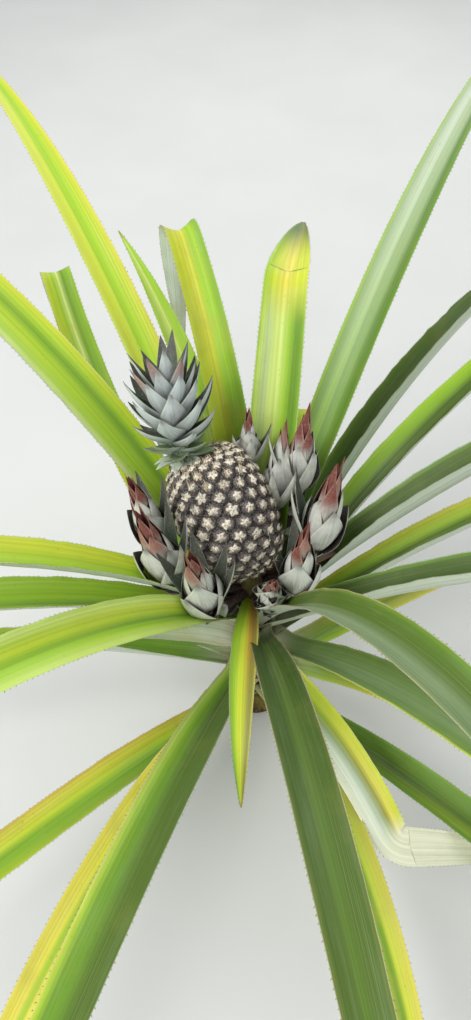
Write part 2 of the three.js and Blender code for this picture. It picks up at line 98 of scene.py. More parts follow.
# name: turn, rise, droop, sway, length, height, width, and for a folded one fold, swing, rest
LEAVES = {
    "leaf_left_2": (198, 48, 72, 5, 930, 247, 52),
    "leaf_left_4": (225, 55, 86, 3, 900, 232, 46),
    "leaf_left_1": (146, 54, 67, 0, 980, 232, 60),
    "leaf_back_1": (101, 61, 28, 11, 500, 230, 46, 115, 0, 190),
    "leaf_right_1": (60, 56, 62, 0, 960, 226, 46),
    "leaf_back_3": (107, 57, 31, 19, 510, 222, 38),
    "leaf_front_1": (-61, 68, 116, -6, 870, 222, 47),
    "leaf_left_3": (203, 45, 71, 4, 940, 220, 52),
    "leaf_right_4": (16, 46, 69, -5, 940, 220, 54),
    "leaf_back_2": (80, 66, 18, 4, 440, 215, 57, 54, -4, 176),
    "leaf_front_2": (-85, 56, 92, 5, 890, 205, 42),
    "leaf_right_2": (51, 45, 77, -12, 900, 200, 46),
    "leaf_back_4": (122, 54, 62, -1, 960, 200, 46),
    "leaf_right_6": (-8, 40, 66, -4, 890, 198, 52),
    "leaf_back_5": (74, 58, 27, 1, 310, 186, 47, 105, 0, 110),
    "leaf_right_3": (39, 46, 82, -5, 930, 178, 50),
    "leaf_right_7": (-50, 50, 87, -5, 840, 165, 50),
    "leaf_right_5": (12, 42, 59, -3, 890, 158, 52),
    "leaf_front_3": (-109, 44, 71, 1, 940, 140, 47),
    "leaf_front_4": (-57, 31, 52, -9, 330, 106, 51, 2, 71, 270),
    "leaf_back_6": (138, 39, 0, -28, 615, 102, 46, 120, 0, 150),
    "leaf_left_5": (188, 28, 59, 0, 900, 88, 46),
    "leaf_front_6": (-123, 28, 66, 15, 800, 70, 44),
    "leaf_front_5": (-66, 34, 97, -20, 730, 58, 44),
    "leaf_right_8": (-44, 23, 55, -1, 910, 34, 50),
    "leaf_front_7": (-132, 32, 52, -7, 900, 28, 48),
    "leaf_low_1": (95, 35, 45, 0, 330, 120, 38),
    "leaf_low_2": (60, 25, 50, 0, 380, 70, 40),
    "leaf_low_3": (22, 22, 50, 5, 420, 60, 42),
    "leaf_low_4": (-25, 25, 55, 0, 300, 110, 38),
    "leaf_low_5": (165, 26, 50, 0, 360, 90, 40),
    "leaf_low_6": (190, 40, 45, 0, 210, 150, 38),
    "leaf_low_7": (128, 22, 45, 0, 300, 50, 40),
    "stalk_leaf_1": (-98, 25, 70, 10, 272, 283, 30),
    "stalk_leaf_2": (140, 40, 60, 0, 130, 282, 26),
    "stalk_leaf_3": (20, 40, 60, 0, 120, 278, 26),
}

# name: turn, reach and height of its foot, reach and height of its tip, width, how much red its
# inner leaves show, and how many slender leaves stand beside it
SLIPS = {
    "slip_1": (91, 102, 420, 112, 494, 34, 0.45, 4),
    "slip_2": (66, 84, 368, 92, 500, 36, 0.1, 5),
    "slip_3": (54, 97, 396, 103, 524, 44, 0.7, 2),
    "slip_4": (17, 84, 352, 98, 502, 46, 0.6, 2),
    "slip_5": (-18, 58, 322, 62, 452, 44, 0.8, 2),
    "slip_6": (-62, 46, 330, 58, 392, 42, 0.6, 0),
    "slip_7": (228, 74, 342, 98, 480, 50, 0.4, 4),
    "slip_8": (194, 96, 352, 122, 490, 48, 0.8, 3),
    "slip_9": (168, 112, 366, 138, 476, 44, 0.4, 4),
}

# How a leaf's upper face is coloured: stops from its left margin (-1) to its right one (1),
# seen from the stem, at its foot and at its end. Then how deep its channel is and how far it
# rolls, in degrees. The stops also hold painted light: lime for sunlit parts, and the shaded
# and deepest greens, and in places plain leaf green, for painted shade where a leaf lies in shade.
PALE_LOW_LOOK = ("-1 cream 0 silver 1 sage", "-1 sage 0 silver_leaf 1 leaf", 0.6, 0)
RED_STALK_LOOK = ("-1 slip_red 0 crown_green 1 slip_red", "-1 slip_red 0 crown_tip 1 slip_red", 0.5, 0)
LOW_LOOK = ("-1 olive 0 leaf 1 lime", "-1 yellow_lime 0 olive 1 straw", 0.6, 0)
LOOKS = {
    # Painted shadow: the shaded stripe a little right of the middle is the shadow of the channel's far
    # margin.
    "leaf_left_1": ("-1 silver_leaf -.8 pale_lime -.5 lime .2 lime .3 leaf .38 shade_leaf .45 leaf .6 lime "
                    ".92 yellow_lime 1 lime",
                    "-1 sage -.88 pale_lime -.55 lime -.2 yellow_lime .2 lime .34 leaf .45 lime "
                    ".9 yellow_lime 1 straw", 0.36, 0),
    "leaf_left_2": ("-1 pale_lime -.5 yellow_lime 0 lime .2 lime .9 yellow_lime 1 lime",
                    "-1 pale_lime -.3 yellow_lime 0 lime .5 yellow_lime 1 straw", 0.8, -18),
    "leaf_left_3": ("-1 silver -.92 silver -.86 pale_lime -.4 lime 0 leaf .2 lime 1 lime",
                    "-1 cream -.9 lime -.4 pale_lime 0 lime .5 lime .8 pale_lime 1 lime", 0.8, -14),
    "leaf_left_4": ("-1 lime -.8 pale_lime -.4 lime 0 leaf .15 lime .5 yellow_lime .8 pale_lime 1 lime",
                    "-1 pale_lime -.5 lime 0 lime .3 yellow_lime .6 lime .8 pale_lime 1 pale_lime", 0.6, 22),
    "leaf_left_5": ("-1 leaf 0 leaf 1 leaf", "-1 lime 0 leaf 1 yellow_lime", 0.9, -34),
    "leaf_back_1": ("-1 yellow_lime -.6 lime -.1 lime .15 leaf .5 leaf .9 leaf 1 lime",
                    "-1 yellow_lime -.4 yellow_lime -.1 straw .05 yellow_lime .3 lime .7 lime .9 leaf "
                    "1 lime", 1.1, 0),
    "leaf_back_2": ("-1 lime -.6 lime -.3 pale_lime 0 lime .2 lime .4 leaf .8 leaf 1 lime",
                    "-1 lime -.75 pale_lime -.5 silver_leaf -.3 pale_lime 0 pale_lime .3 lime .6 leaf "
                    ".9 leaf 1 lime", 0.8, 0),
    "leaf_back_3": ("-1 lime 0 pale_lime .15 lime .9 leaf 1 lime",
                    "-1 lime 0 pale_lime .2 lime 1 lime", 0.6, 0),
    "leaf_back_4": ("-1 pale_lime -.5 yellow_lime -.1 pale_lime 0 lime .1 lime .8 yellow_lime 1 straw",
                    "-1 yellow_lime -.2 yellow_lime 0 lime .2 lime .8 yellow_lime 1 straw", 0.5, 0),
    "leaf_back_5": ("-1 straw -.2 lime .1 leaf .4 lime 1 lime",
                    "-1 straw -.3 yellow_lime .1 lime .4 yellow_lime 1 amber", 0.4, 0),
    "leaf_back_6": ("-1 yellow_lime -.2 lime 0 leaf .15 leaf 1 leaf",
                    "-1 yellow_lime -.15 lime 0 pale_lime .15 leaf 1 lime", 0.5, 0),
    "leaf_right_1": ("-1 lime -.7 leaf -.15 lime 0 leaf .12 leaf .5 leaf .7 shade_leaf 1 leaf",
                     "-1 lime -.85 silver_leaf -.4 silver -.1 silver_leaf .25 silver_leaf .5 sage_leaf "
                     "1 leaf", 0.6, 0),
    "leaf_right_2": ("-1 olive -.93 leaf -.7 shade_leaf 0 deep_leaf 1 deep_leaf",
                     "-1 shade_leaf 0 deep_leaf 1 shade_leaf", 1.25, 40),
    "leaf_right_3": ("-1 lime -.66 lime -.5 leaf -.35 shade_leaf 1 shade_leaf",
                     "-1 lime -.66 lime -.5 leaf -.3 shade_leaf 1 shade_leaf", 0.98, 26),
    "leaf_right_4": ("-1 leaf -.9 shade_leaf 0 deep_leaf 1 shade_leaf",
                     "-1 leaf -.9 shade_leaf 0 deep_leaf 1 leaf", 1.15, 33),
    "leaf_right_5": ("-1 straw -.9 yellow_lime -.6 lime -.45 leaf -.3 shade_leaf 1 shade_leaf",
                     "-1 straw -.94 straw -.6 yellow_lime -.4 leaf -.2 shade_leaf .8 leaf 1 leaf", 0.98, 25),
    "leaf_right_6": ("-1 leaf -.9 shade_leaf 0 deep_leaf 1 shade_leaf",
                     "-1 leaf -.8 shade_leaf 0 deep_leaf 1 leaf", 1.12, 28),
    "leaf_right_7": ("-1 shade_leaf 0 sage_leaf .8 sage_leaf 1 yellow_lime",
                     "-1 shade_leaf 0 sage_leaf .8 leaf .9 lime 1 yellow_lime", 0.55, 4),
    "leaf_right_8": ("-1 leaf 0 shade_leaf 1 leaf",
                     "-1 leaf 0 shade_leaf .2 leaf .5 yellow_lime .8 leaf 1 leaf", 0.6, 6),
    "leaf_front_1": ("-1 olive -.9 shade_leaf -.5 shade_leaf -.05 shade_leaf .06 sage 1 sage",
                     "-1 leaf -.5 shade_leaf -.05 shade_leaf .1 sage_leaf .9 sage_leaf 1 olive", 0.6, 0),
    "leaf_front_2": ("-1 russet -.95 deep_leaf -.35 deep_leaf -.15 shade_leaf .05 shade_leaf .2 deep_leaf "
                     ".95 deep_leaf 1 russet",
                     "-1 olive -.93 shade_leaf -.3 shade_leaf -.15 leaf .05 shade_leaf .2 shade_leaf "
                     ".93 shade_leaf 1 olive", 0.42, 0),
    "leaf_front_3": ("-1 shade_leaf 0 shade_leaf .3 leaf .7 lime .9 pale_lime 1 olive",
                     "-1 shade_leaf -.2 shade_leaf .1 leaf .6 leaf .8 lime .95 yellow_lime 1 straw", 0.5, 0),
    "leaf_front_4": ("-1 yellow_lime -.5 lime -.1 leaf .05 sage 1 sage",
                     "-1 yellow_lime -.45 straw -.3 olive -.1 sage .3 silver 1 cream", 0.5, 0),
    "leaf_front_5": ("-1 olive 0 leaf 1 yellow_lime", "-1 straw -.2 yellow_lime 0 leaf 1 straw", 0.5, 0),
    "leaf_front_6": ("-1 straw -.3 yellow_lime 0 leaf .3 yellow_lime 1 straw",
                     "-1 straw -.3 straw 0 lime .3 straw 1 straw", 0.5, 0),
    "leaf_front_7": ("-1 leaf -.2 leaf 0 lime .4 yellow_lime .9 straw 1 amber",
                     "-1 yellow_lime -.5 lime 0 leaf .25 yellow_lime .9 straw 1 amber", 0.5, 0),
    "leaf_low_5": PALE_LOW_LOOK,
    "leaf_low_6": PALE_LOW_LOOK,
    "stalk_leaf_1": ("-1 straw -.93 olive -.5 russet -.25 amber -.1 yellow_lime .2 yellow_lime .4 lime "
                     ".9 lime 1 olive",
                     "-1 straw -.9 olive -.4 olive -.2 yellow_lime .3 yellow_lime .6 lime 1 leaf", 0.3, 0),
    "stalk_leaf_2": RED_STALK_LOOK,
    "stalk_leaf_3": RED_STALK_LOOK,
}

# The same for what hangs beyond a fold: only its stops, at the fold and at its end
END_LOOKS = {
    "leaf_back_1_end": ("-1 sage 0 silver_leaf 1 sage", "-1 dry 0 sage 1 dry"),
    "leaf_back_2_end": ("-1 lime -.5 yellow_lime 0 straw .6 yellow_lime 1 yellow_lime",
                        "-1 leaf -.6 sage_leaf .1 sage_leaf .5 olive 1 shade_leaf"),
    "leaf_back_5_end": ("-1 straw -.4 lime .2 lime .5 amber 1 dry", "-1 amber 0 dry 1 dry"),
    "leaf_back_6_end": ("-1 sage 0 silver_leaf 1 sage", "-1 sage 0 silver_leaf 1 dry"),
    "leaf_front_4_end": ("-1 cream 0 cream 1 cream", "-1 cream 0 cream 1 cream"),
}
# The folded leaves whose colour changes before the fold, and those with a cream underside
PALE_FOLDS = ("leaf_front_4", "leaf_back_2")
CREAM_UNDER = ("leaf_front_4", "leaf_front_4_end")
LEAF_SLOTS = {
    "leaf_aged": ("leaf_back_1", "leaf_back_6", "leaf_back_5", "leaf_front_5", "leaf_front_6",
                  "leaf_front_7", "leaf_low"),
    "leaf_sunlit": ("leaf_left", "leaf_back_2", "leaf_back_3", "leaf_back_4", "stalk_leaf_1"),
    "leaf_underside": ("leaf_front_4_end",),
}


def srgb(*channels):
    """The linear colour of a colour that is given as it looks, from 0 to 255, by the usual rule."""
    shares = (channel / 255 for channel in channels)
    return tuple(share / 12.92 if share <= 0.04045 else ((share + 0.055) / 1.055) ** 2.4
                 for share in shares)


def colour(name, text, *look):
    return bpy.props.FloatVectorProperty(
        name=name, description=text, subtype="COLOR", size=3, min=0, max=1, default=srgb(*look))


def length(name, text, millimetres):
    return bpy.props.FloatProperty(
        name=name, description=text, default=millimetres * MM, min=0, unit="LENGTH", precision=4)


class PlantSizes(bpy.types.PropertyGroup):
    """Sizes of the plant's fine parts"""
    leaf_thickness: length("Leaf thickness", "Thickness of a leaf along its middle", 3.2)
    clasp: bpy.props.FloatProperty(
        name="Clasp", description="How much wider a leaf is where it clasps the stem",
        default=0.75, min=0, max=2, subtype="FACTOR")
    ripple: length("Ripple", "How far a leaf's margins wave", 2.4)
    spine_length: length("Spine length", "Length of a spine on a leaf's margin", 1.7)
    spine_spacing: length("Spine spacing", "Distance between two spines", 5.5)
    eye_relief: length("Eye relief", "Height of an eye over the groove round it", 4.6)
    star_radius: length("Star radius", "Radius of the pale star in an eye", 7.5)
    bract_length: length("Bract length", "Length of the dry bract under an eye", 9.5)
    crown_blades: bpy.props.IntProperty(
        name="Crown leaves", description="Number of leaves in the crown", default=46, min=10, max=90)
    slip_blades: bpy.props.IntProperty(
        name="Slip leaves", description="Number of leaves on a slip", default=14, min=5, max=30)
    scar_depth: length("Scar depth", "Depth of the rings that old leaves left on the stem", 1.6)


class PlantColours(bpy.types.PropertyGroup):
    """Colours of the plant"""
    # Painted shade: the darkest green, for shade in a leaf's channel and on leaves that lie in shade.
    deep_leaf: colour("Deep leaf", "Darkest green in a leaf's channel", 54, 78, 26)
    shade_leaf: colour("Shaded leaf", "Green of a shaded leaf", 78, 102, 34)
    leaf: colour("Leaf", "Usual leaf green", 106, 148, 40)
    lime: colour("Lime", "Bright sunlit green", 156, 196, 48)
    pale_lime: colour("Pale lime", "Pale band on a sunlit leaf", 208, 226, 122)
    yellow_lime: colour("Yellow lime", "Yellow-green of an older leaf", 200, 210, 54)
    straw: colour("Straw", "Yellow of an ageing leaf", 222, 208, 80)
    amber: colour("Amber", "Orange margin of an ageing leaf", 196, 142, 56)
    dry: colour("Dry", "Dry brown of a dead tip", 142, 112, 72)
    olive: colour("Olive", "Olive of a leaf's margin", 138, 138, 54)
    russet: colour("Russet", "Red-brown of a leaf's margin", 150, 104, 58)
    sage: colour("Sage", "Grey-green bloom on a leaf", 150, 168, 132)
    sage_leaf: colour("Sage leaf", "Green under a thin bloom", 104, 128, 78)
    silver_leaf: colour("Silver leaf", "Upper face with a thick bloom", 172, 190, 148)
    silver: colour("Underside", "Silver scales of a leaf's underside", 218, 227, 208)
    cream: colour("Cream", "Pale clasping foot and bleached underside", 232, 232, 204)
    fruit_cushion: colour("Eye cushion", "Violet-grey of an eye", 84, 72, 72)
    fruit_groove: colour("Groove", "Near-black between the eyes", 26, 20, 16)
    # Painted shade: near-black in the grooves between the eyes and at the fruit's two ends; the bracts' dark
    # grain takes the same colour.
    fruit_star: colour("Star", "Cream of the star in an eye", 236, 228, 208)
    fruit_bract: colour("Bract", "Pale brown of the dry bracts", 188, 170, 140)
    crown_silver: colour("Crown silver", "Blue-grey bloom on the crown's leaves", 204, 214, 212)
    crown_green: colour("Crown green", "Green under the crown's bloom", 84, 108, 84)
    crown_pink: colour("Crown pink", "Pink of the crown's inner leaves", 172, 138, 130)
    crown_tip: colour("Crown tip", "Dark grey of the crown's tips", 86, 84, 78)
    slip_silver: colour("Slip silver", "Bloom on a slip's outer leaves", 222, 224, 214)
    slip_red: colour("Slip red", "Brick red of a slip's inner leaves", 136, 66, 58)
    slip_pink: colour("Slip pink", "Pink of a slip's tips", 176, 124, 112)
    # Painted shade: the dark of a slip's shaded inside, on its leaves' inner faces and on the whole neck.
    slip_dark: colour("Slip dark", "Dark inside of a slip", 62, 44, 40)
    stem_brown: colour("Stem", "Brown of the stem", 116, 94, 62)
    stem_dark: colour("Stem dark", "Dark rings on the stem", 62, 48, 32)
    stalk_green: colour("Stalk", "Green of the fruit's stalk", 128, 128, 84)
    floor: colour("Floor", "Plain floor", 214, 214, 210)


def sizes():
    return bpy.context.scene.plant_sizes


def ink(name):
    return np.array(getattr(bpy.context.scene.plant_colours, name), float)


def add_to_scene(name, data):
    thing = bpy.data.objects.new(name, data)
    bpy.context.scene.collection.objects.link(thing)
    return thing


def once(maker):
    """Keeps what a maker makes, so that the same call makes it only once."""
    kept = {}

    def fetch(*names):
        if names not in kept:
            kept[names] = maker(*names)
        return kept[names]
    return fetch


# Nodes

class Wire:
    """One output in a node tree. Wires are added, multiplied and so on with the usual signs."""

    def __init__(self, tree, socket):
        self.tree, self.socket = tree, socket


def wire_sign(operation, swapped):
    def join(wire, other):
        return wire.tree.math(operation, *((other, wire) if swapped else (wire, other)))
    return join


for sign_name, sign_operation in (("add", "ADD"), ("sub", "SUBTRACT"), ("mul", "MULTIPLY"),
                                  ("truediv", "DIVIDE"), ("pow", "POWER")):
    setattr(Wire, f"__{sign_name}__", wire_sign(sign_operation, False))
    setattr(Wire, f"__r{sign_name}__", wire_sign(sign_operation, True))


class Nodes:
    """Short calls for the nodes of one tree."""

    def __init__(self, tree):
        self.nodes, self.links = tree.nodes, tree.links

    def join(self, socket, value):
        if isinstance(value, Wire):
            self.links.new(value.socket, socket)
        else:
            socket.default_value = value

    def node(self, kind, wires=None, out=0, **settings):
        node = self.nodes.new(kind)
        for key, value in settings.items():
            setattr(node, key, value)
        for place, value in (wires or {}).items():
            self.join(node.inputs[place], value)
        return Wire(self, node.outputs[out])

    def math(self, operation, *values):
        return self.node("ShaderNodeMath", dict(enumerate(values)), operation=operation)


class Tree(Nodes):
    """A geometry node tree with named inputs. It ends in Realize Instances and Set Material."""

    KINDS = {float: "NodeSocketFloat", int: "NodeSocketInt", tuple: "NodeSocketVector"}

    def __init__(self, name, inputs):
        self.group = bpy.data.node_groups.new(name, "GeometryNodeTree")
        super().__init__(self.group)
        face = self.group.interface
        face.new_socket(name="Geometry", in_out="INPUT", socket_type="NodeSocketGeometry")
        face.new_socket(name="Geometry", in_out="OUTPUT", socket_type="NodeSocketGeometry")
        self.finish = face.new_socket(
            name="Finish", in_out="INPUT", socket_type="NodeSocketMaterial").identifier
        self.inputs = {}
        for label, default in inputs.items():
            kind = type(default)
            socket = face.new_socket(name=label, in_out="INPUT", socket_type=self.KINDS[kind])
            socket.default_value = default
            self.inputs[label] = (socket.identifier, kind)
        self.source = self.nodes.new("NodeGroupInput")

    def input(self, label):
        return Wire(self, self.source.outputs[label])

    def vector(self, operation, *values):
        return self.node("ShaderNodeVectorMath", dict(enumerate(values)), operation=operation)

    def scale(self, vector, share):
        return self.node("ShaderNodeVectorMath", {"Vector": vector, "Scale": share}, operation="SCALE")

    def point(self, x, y, z):
        return self.node("ShaderNodeCombineXYZ", {0: x, 1: y, 2: z})

    def split(self, vector):
        parts = self.nodes.new("ShaderNodeSeparateXYZ")
        self.join(parts.inputs[0], vector)
        return [Wire(self, part) for part in parts.outputs]

    def clamp(self, value, low, high):
        return self.math("MINIMUM", self.math("MAXIMUM", value, low), high)

    def smooth(self, value, low, high):
        share = self.clamp((value - low) / (high - low), 0.0, 1.0)
        return share * share * (3.0 - 2.0 * share)

    def random(self, low, high, seed):
        """A random number or vector for each copy."""
        number = isinstance(low, float)
        first = 2 if number else 0
        return self.node("FunctionNodeRandomValue", {first: low, first + 1: high, "Seed": seed},
                         out=1 if number else 0, data_type="FLOAT" if number else "FLOAT_VECTOR")

    def store(self, geometry, name, value, domain="POINT", kind="FLOAT"):
        return self.node("GeometryNodeStoreNamedAttribute",
                         {"Geometry": geometry, "Name": name, "Value": value}, domain=domain, data_type=kind)

    def named(self, name, kind="FLOAT"):
        return self.node("GeometryNodeInputNamedAttribute", {"Name": name}, data_type=kind)

    def turned(self, vector, kind, **how):
        wires = {key.replace("_", " "): value for key, value in how.items()}
        return self.node("ShaderNodeVectorRotate", {"Vector": vector, **wires}, rotation_type=kind)

    def moved(self, geometry, place):
        return self.node("GeometryNodeSetPosition", {"Geometry": geometry, "Position": place})

    def cone(self, sides, rings, top, foot, tall):
        return self.node("GeometryNodeMeshCone", {
            "Vertices": sides, "Side Segments": rings, "Radius Top": top, "Radius Bottom": foot,
            "Depth": tall})

    def copies(self, points, instance, rotation, size):
        return self.node("GeometryNodeInstanceOnPoints", {"Points": points, "Instance": instance,
                                                          "Rotation": rotation, "Scale": size})

    def eye_stand(self):
        """The rotation that stands a copy on its eye, with its side up the fruit."""
        return self.node("FunctionNodeAxesToRotation", {0: self.named("out", "FLOAT_VECTOR"),
                                                        1: self.named("up", "FLOAT_VECTOR")})

    def end(self, geometry):
        real = self.node("GeometryNodeRealizeInstances", {"Geometry": geometry})
        dressed = self.node("GeometryNodeSetMaterial", {"Geometry": real, "Material": self.input("Finish")})
        self.join(self.nodes.new("NodeGroupOutput").inputs[0], dressed)
        return self

    def grow(self, material, source=None, **values):
        """The tree's result as a plain mesh. A value's name is its input's, with _ for a space."""
        holder = add_to_scene("growing", source or bpy.data.meshes.new("seed"))
        modifier = holder.modifiers.new("grow", "NODES")
        modifier.node_group = self.group
        modifier[self.finish] = material
        for key, value in values.items():
            identifier, kind = self.inputs[key.replace("_", " ")]
            modifier[identifier] = kind(value)
        holder.update_tag()
        bpy.context.view_layer.update()
        graph = bpy.context.evaluated_depsgraph_get()
        mesh = bpy.data.meshes.new_from_object(holder.evaluated_get(graph))
        holder.modifiers.clear()
        bpy.data.objects.remove(holder)
        if not mesh.polygons:
            raise RuntimeError(f"the tree {self.group.name} made no faces")
        return outwards(mesh)


def read(rows, key, width, kind=np.float32):
    """A row of numbers for each item of a mesh's layer."""
    values = np.empty(len(rows) * width, kind)
    rows.foreach_get(key, values)
    return values.reshape(-1, width)


def points_of(mesh):
    return read(mesh.vertices, "co", 3).astype(float)


def point_of_corner(mesh):
    return read(mesh.loops, "vertex_index", 1, np.int32)[:, 0]


def blade_map(mesh):
    """Round a blade's section and along the blade, each from 0 to 1, for each face corner."""
    return read(mesh.attributes["Blade"].data, "vector", 2).T.astype(float)


def outwards(mesh):
    """Turns a closed mesh the right way out."""
    mesh.calc_loop_triangles()
    points = points_of(mesh)
    points -= points.mean(0)
    a, b, c = points[read(mesh.loop_triangles, "vertices", 3, np.int32).T]
    if np.einsum("ij,ij->i", a, np.cross(b, c)).sum() < 0:
        mesh.flip_normals()
    return mesh


BLADE_INPUTS = {
    "Start": (0.0, 0.0, 0.0), "Stand": (0.0, 0.0, 0.0), "Turn": 0.0, "Rise": 45.0, "Droop": 60.0,
    "Sway": 0.0, "Length": 0.9, "Width": 0.05, "Foot share": BASE_SHARE, "Broad share": 1.0,
    "Widest at": WIDEST_AT, "Lost": TIP_LOSS, "Taper": TAPER, "Channel": 0.5, "Channel loss": CHANNEL_LOSS,
    "Thickness": 0.003, "Droop power": DROOP_POWER, "Fold": 0.0, "Swing": 0.0, "Roll": 0.0, "Clasp": 0.0,
    "Ripple": 0.0, "Steps along": LINE_STEPS, "Points round": 20, "Seed": 0.0,
}
CHANNEL_POWER = 1.4
CLASP_LENGTH = 0.055
CLASP_CHANNEL = 0.5
ROLLED_AT = 0.25
MARGIN_THINNING = 0.65
MARGIN_SHARPNESS = 3.0
WAVES_A_METRE = 11.0
WAVE_SHIFT = 0.8
STRAIGHT_ENDS = 0.05
WELD_GAP = 1e-6


@once
def blade_tree():
    """A closed, channelled blade that follows the leaf rule: its slope falls off along it."""
    t = Tree("blade_on_a_line", BLADE_INPUTS)
    get = t.input
    # A grid whose first and last rows close the blade's ends
    steps, round_count = get("Steps along"), get("Points round")
    columns = round_count + 1
    grid = t.node("GeometryNodeMeshGrid", {"Vertices X": steps + 3, "Vertices Y": columns})
    index = t.node("GeometryNodeInputIndex")
    ring = t.math("FLOOR", (index + 0.5) / columns)
    column = index - ring * columns
    geometry = t.store(grid, "around", column / round_count)
    geometry = t.store(geometry, "along", t.clamp(ring - 1, 0.0, steps) / steps)
    around, along = t.named("around"), t.named("along")
    moving = t.math("GREATER_THAN", ring, 0.5) * t.math("LESS_THAN", ring, steps + 0.5)
    inside = t.math("GREATER_THAN", ring, 0.5) * t.math("LESS_THAN", ring, steps + 1.5)

    # The line that the blade follows, and the side and up directions of its section
    long = get("Length")
    bent = t.smooth(along * long, long - FOLD_LENGTH * MM, long)
    turn = t.math("RADIANS", get("Turn") + get("Sway") * along + bent * get("Swing"))
    rise = t.math("RADIANS", get("Rise") - get("Droop") * along ** get("Droop power") - bent * get("Fold"))
    level, climb = t.math("COSINE", rise), t.math("SINE", rise)
    east, north = t.math("COSINE", turn), t.math("SINE", turn)
    ahead = t.point(level * east, level * north, climb)
    travel = t.node("GeometryNodeAccumulateField",
                    {"Value": t.scale(ahead, long / steps * moving), "Group ID": column}, out="Trailing",
                    data_type="FLOAT_VECTOR", domain="POINT")
    roll = t.math("RADIANS", 0.0 - get("Roll")) * t.smooth(along, 0.0, ROLLED_AT)
    side = t.turned(t.point(north, 0.0 - east, 0.0), "AXIS_ANGLE", Axis=ahead, Angle=roll)
    up = t.vector("CROSS_PRODUCT", side, ahead)

    # The section: how wide, how deep, how thick and how far its margins wave
    clasp = get("Clasp") * t.math("EXPONENT", 0.0 - (along * long / CLASP_LENGTH) ** 2.0)
    spread = t.smooth(along, 0.0, get("Widest at"))
    broad = get("Foot share") + (get("Broad share") - get("Foot share")) * spread
    past = t.math("MAXIMUM", along - get("Widest at"), 0.0) / (1.0 - get("Widest at"))
    share = broad * (1.0 - get("Lost") * past ** get("Taper"))
    half = get("Width") * 0.5 * share * (1.0 + clasp) * inside
    channel = get("Channel") * (1.0 - get("Channel loss") * along) + clasp * CLASP_CHANNEL
    angle = around * math.tau
    across = t.math("COSINE", angle)
    margin = t.math("ABSOLUTE", across)
    bed = channel * half * margin ** CHANNEL_POWER
    thick = get("Thickness") * (1.0 - LENGTH_THINNING * along) * share ** NARROW_THINNING * inside
    depth = thick * (1.0 - MARGIN_THINNING * across * across)
    below = t.clamp(0.5 - MARGIN_SHARPNESS * t.math("SINE", angle), 0.0, 1.0)
    noise = t.node("ShaderNodeTexNoise", {
        "Vector": t.point(along * long * WAVES_A_METRE, get("Seed"), across * WAVE_SHIFT), "Detail": 1.0})
    calm = t.smooth(along, 0.0, STRAIGHT_ENDS) * t.smooth(1.0 - along, 0.0, STRAIGHT_ENDS)
    wave = (noise - 0.5) * get("Ripple") * 2.0 * margin * share * inside * calm
    section = t.vector("ADD", t.scale(side, across * half), t.scale(up, bed - depth * below + wave))

    stood = t.turned(t.vector("ADD", travel, section), "EULER_XYZ", Rotation=get("Stand"))
    shaped = t.moved(geometry, t.vector("ADD", stood, get("Start")))
    mapped = t.store(shaped, "Blade", t.point(around, along, 0.0), domain="CORNER", kind="FLOAT2")
    merged = t.node("GeometryNodeMergeByDistance", {"Geometry": mapped, "Distance": WELD_GAP})
    for name in ("around", "along"):
        merged = t.node("GeometryNodeRemoveAttribute", {"Geometry": merged, "Name": name})
    return t.end(merged)


SPINE_INPUTS = {"Length": 0.0024, "Spacing": 0.0075, "Seed": 3}
SPINE_LEAN = 0.9
SPINE_SLIMNESS = 0.3
SPINE_SIZES = (0.6, 1.25)


@once
def spine_tree():
    """Small spines along the margins, each leaning towards its leaf's tip."""
    t = Tree("spines_on_margins", SPINE_INPUTS)
    long = t.input("Length")
    curve = t.node("GeometryNodeMeshToCurve", {0: t.input("Geometry")})
    spaced = t.node("GeometryNodeResampleCurve", {"Curve": curve, "Length": t.input("Spacing")},
                    mode="LENGTH")
    tangent = t.node("GeometryNodeInputTangent")
    lean = t.vector("ADD", t.named("away", "FLOAT_VECTOR"), t.scale(tangent, SPINE_LEAN))
    aim = t.node("FunctionNodeAlignRotationToVector", {"Vector": lean}, axis="Z")
    cone = t.cone(3, 1, 0.0, long * SPINE_SLIMNESS, long)
    return t.end(t.copies(spaced, cone, aim, t.random(*SPINE_SIZES, t.input("Seed"))))


STAR_INPUTS = {"Star radius": 0.0066, "Star height": 0.0022, "Seed": 5}
STAR_SIDES = 20
STAR_MIDDLE = 0.16
# How many arms go round the star, how strong they are and where they start
STAR_ARMS = ((5.0, 1.0, 0.0), (2.0, 0.4, 1.0), (3.0, 0.3, 2.5))
STAR_WAIST = 0.75
STAR_REACH = 0.19
STAR_SIZES = ((0.74, 0.74, 0.8), (1.24, 1.24, 1.5))


@once
def star_tree():
    """A low pointed star on each eye."""
    t = Tree("stars_on_eyes", STAR_INPUTS)
    radius, seed = t.input("Star radius"), t.input("Seed")
    cone = t.cone(STAR_SIDES, 3, radius * STAR_MIDDLE, radius, t.input("Star height"))
    place = t.node("GeometryNodeInputPosition")
    x, y, _ = t.split(place)
    turn = t.math("ARCTAN2", y, x)
    arms = sum(strength * t.math("COSINE", turn * count + start) for count, strength, start in STAR_ARMS)
    reach = STAR_WAIST + STAR_REACH * arms
    shaped = t.moved(cone, t.vector("MULTIPLY", place, t.point(reach, reach, 1.0)))
    size = t.scale(t.random(*STAR_SIZES, seed + 1), t.named("size"))
    placed = t.copies(t.input("Geometry"), shaped, t.eye_stand(), size)
    spin = t.point(0.0, 0.0, t.random(0.0, math.tau, seed))
    return t.end(t.node("GeometryNodeRotateInstances", {"Instances": placed, "Rotation": spin}))


BRACT_INPUTS = {"Bract length": 0.0075, "Seed": 9}
BRACT_SIDES = 5
BRACT_SLIMNESS = 0.16
BRACT_FLATNESS = 0.45
BRACT_CURL = 0.5
BRACT_SIZES = (0.55, 1.15)


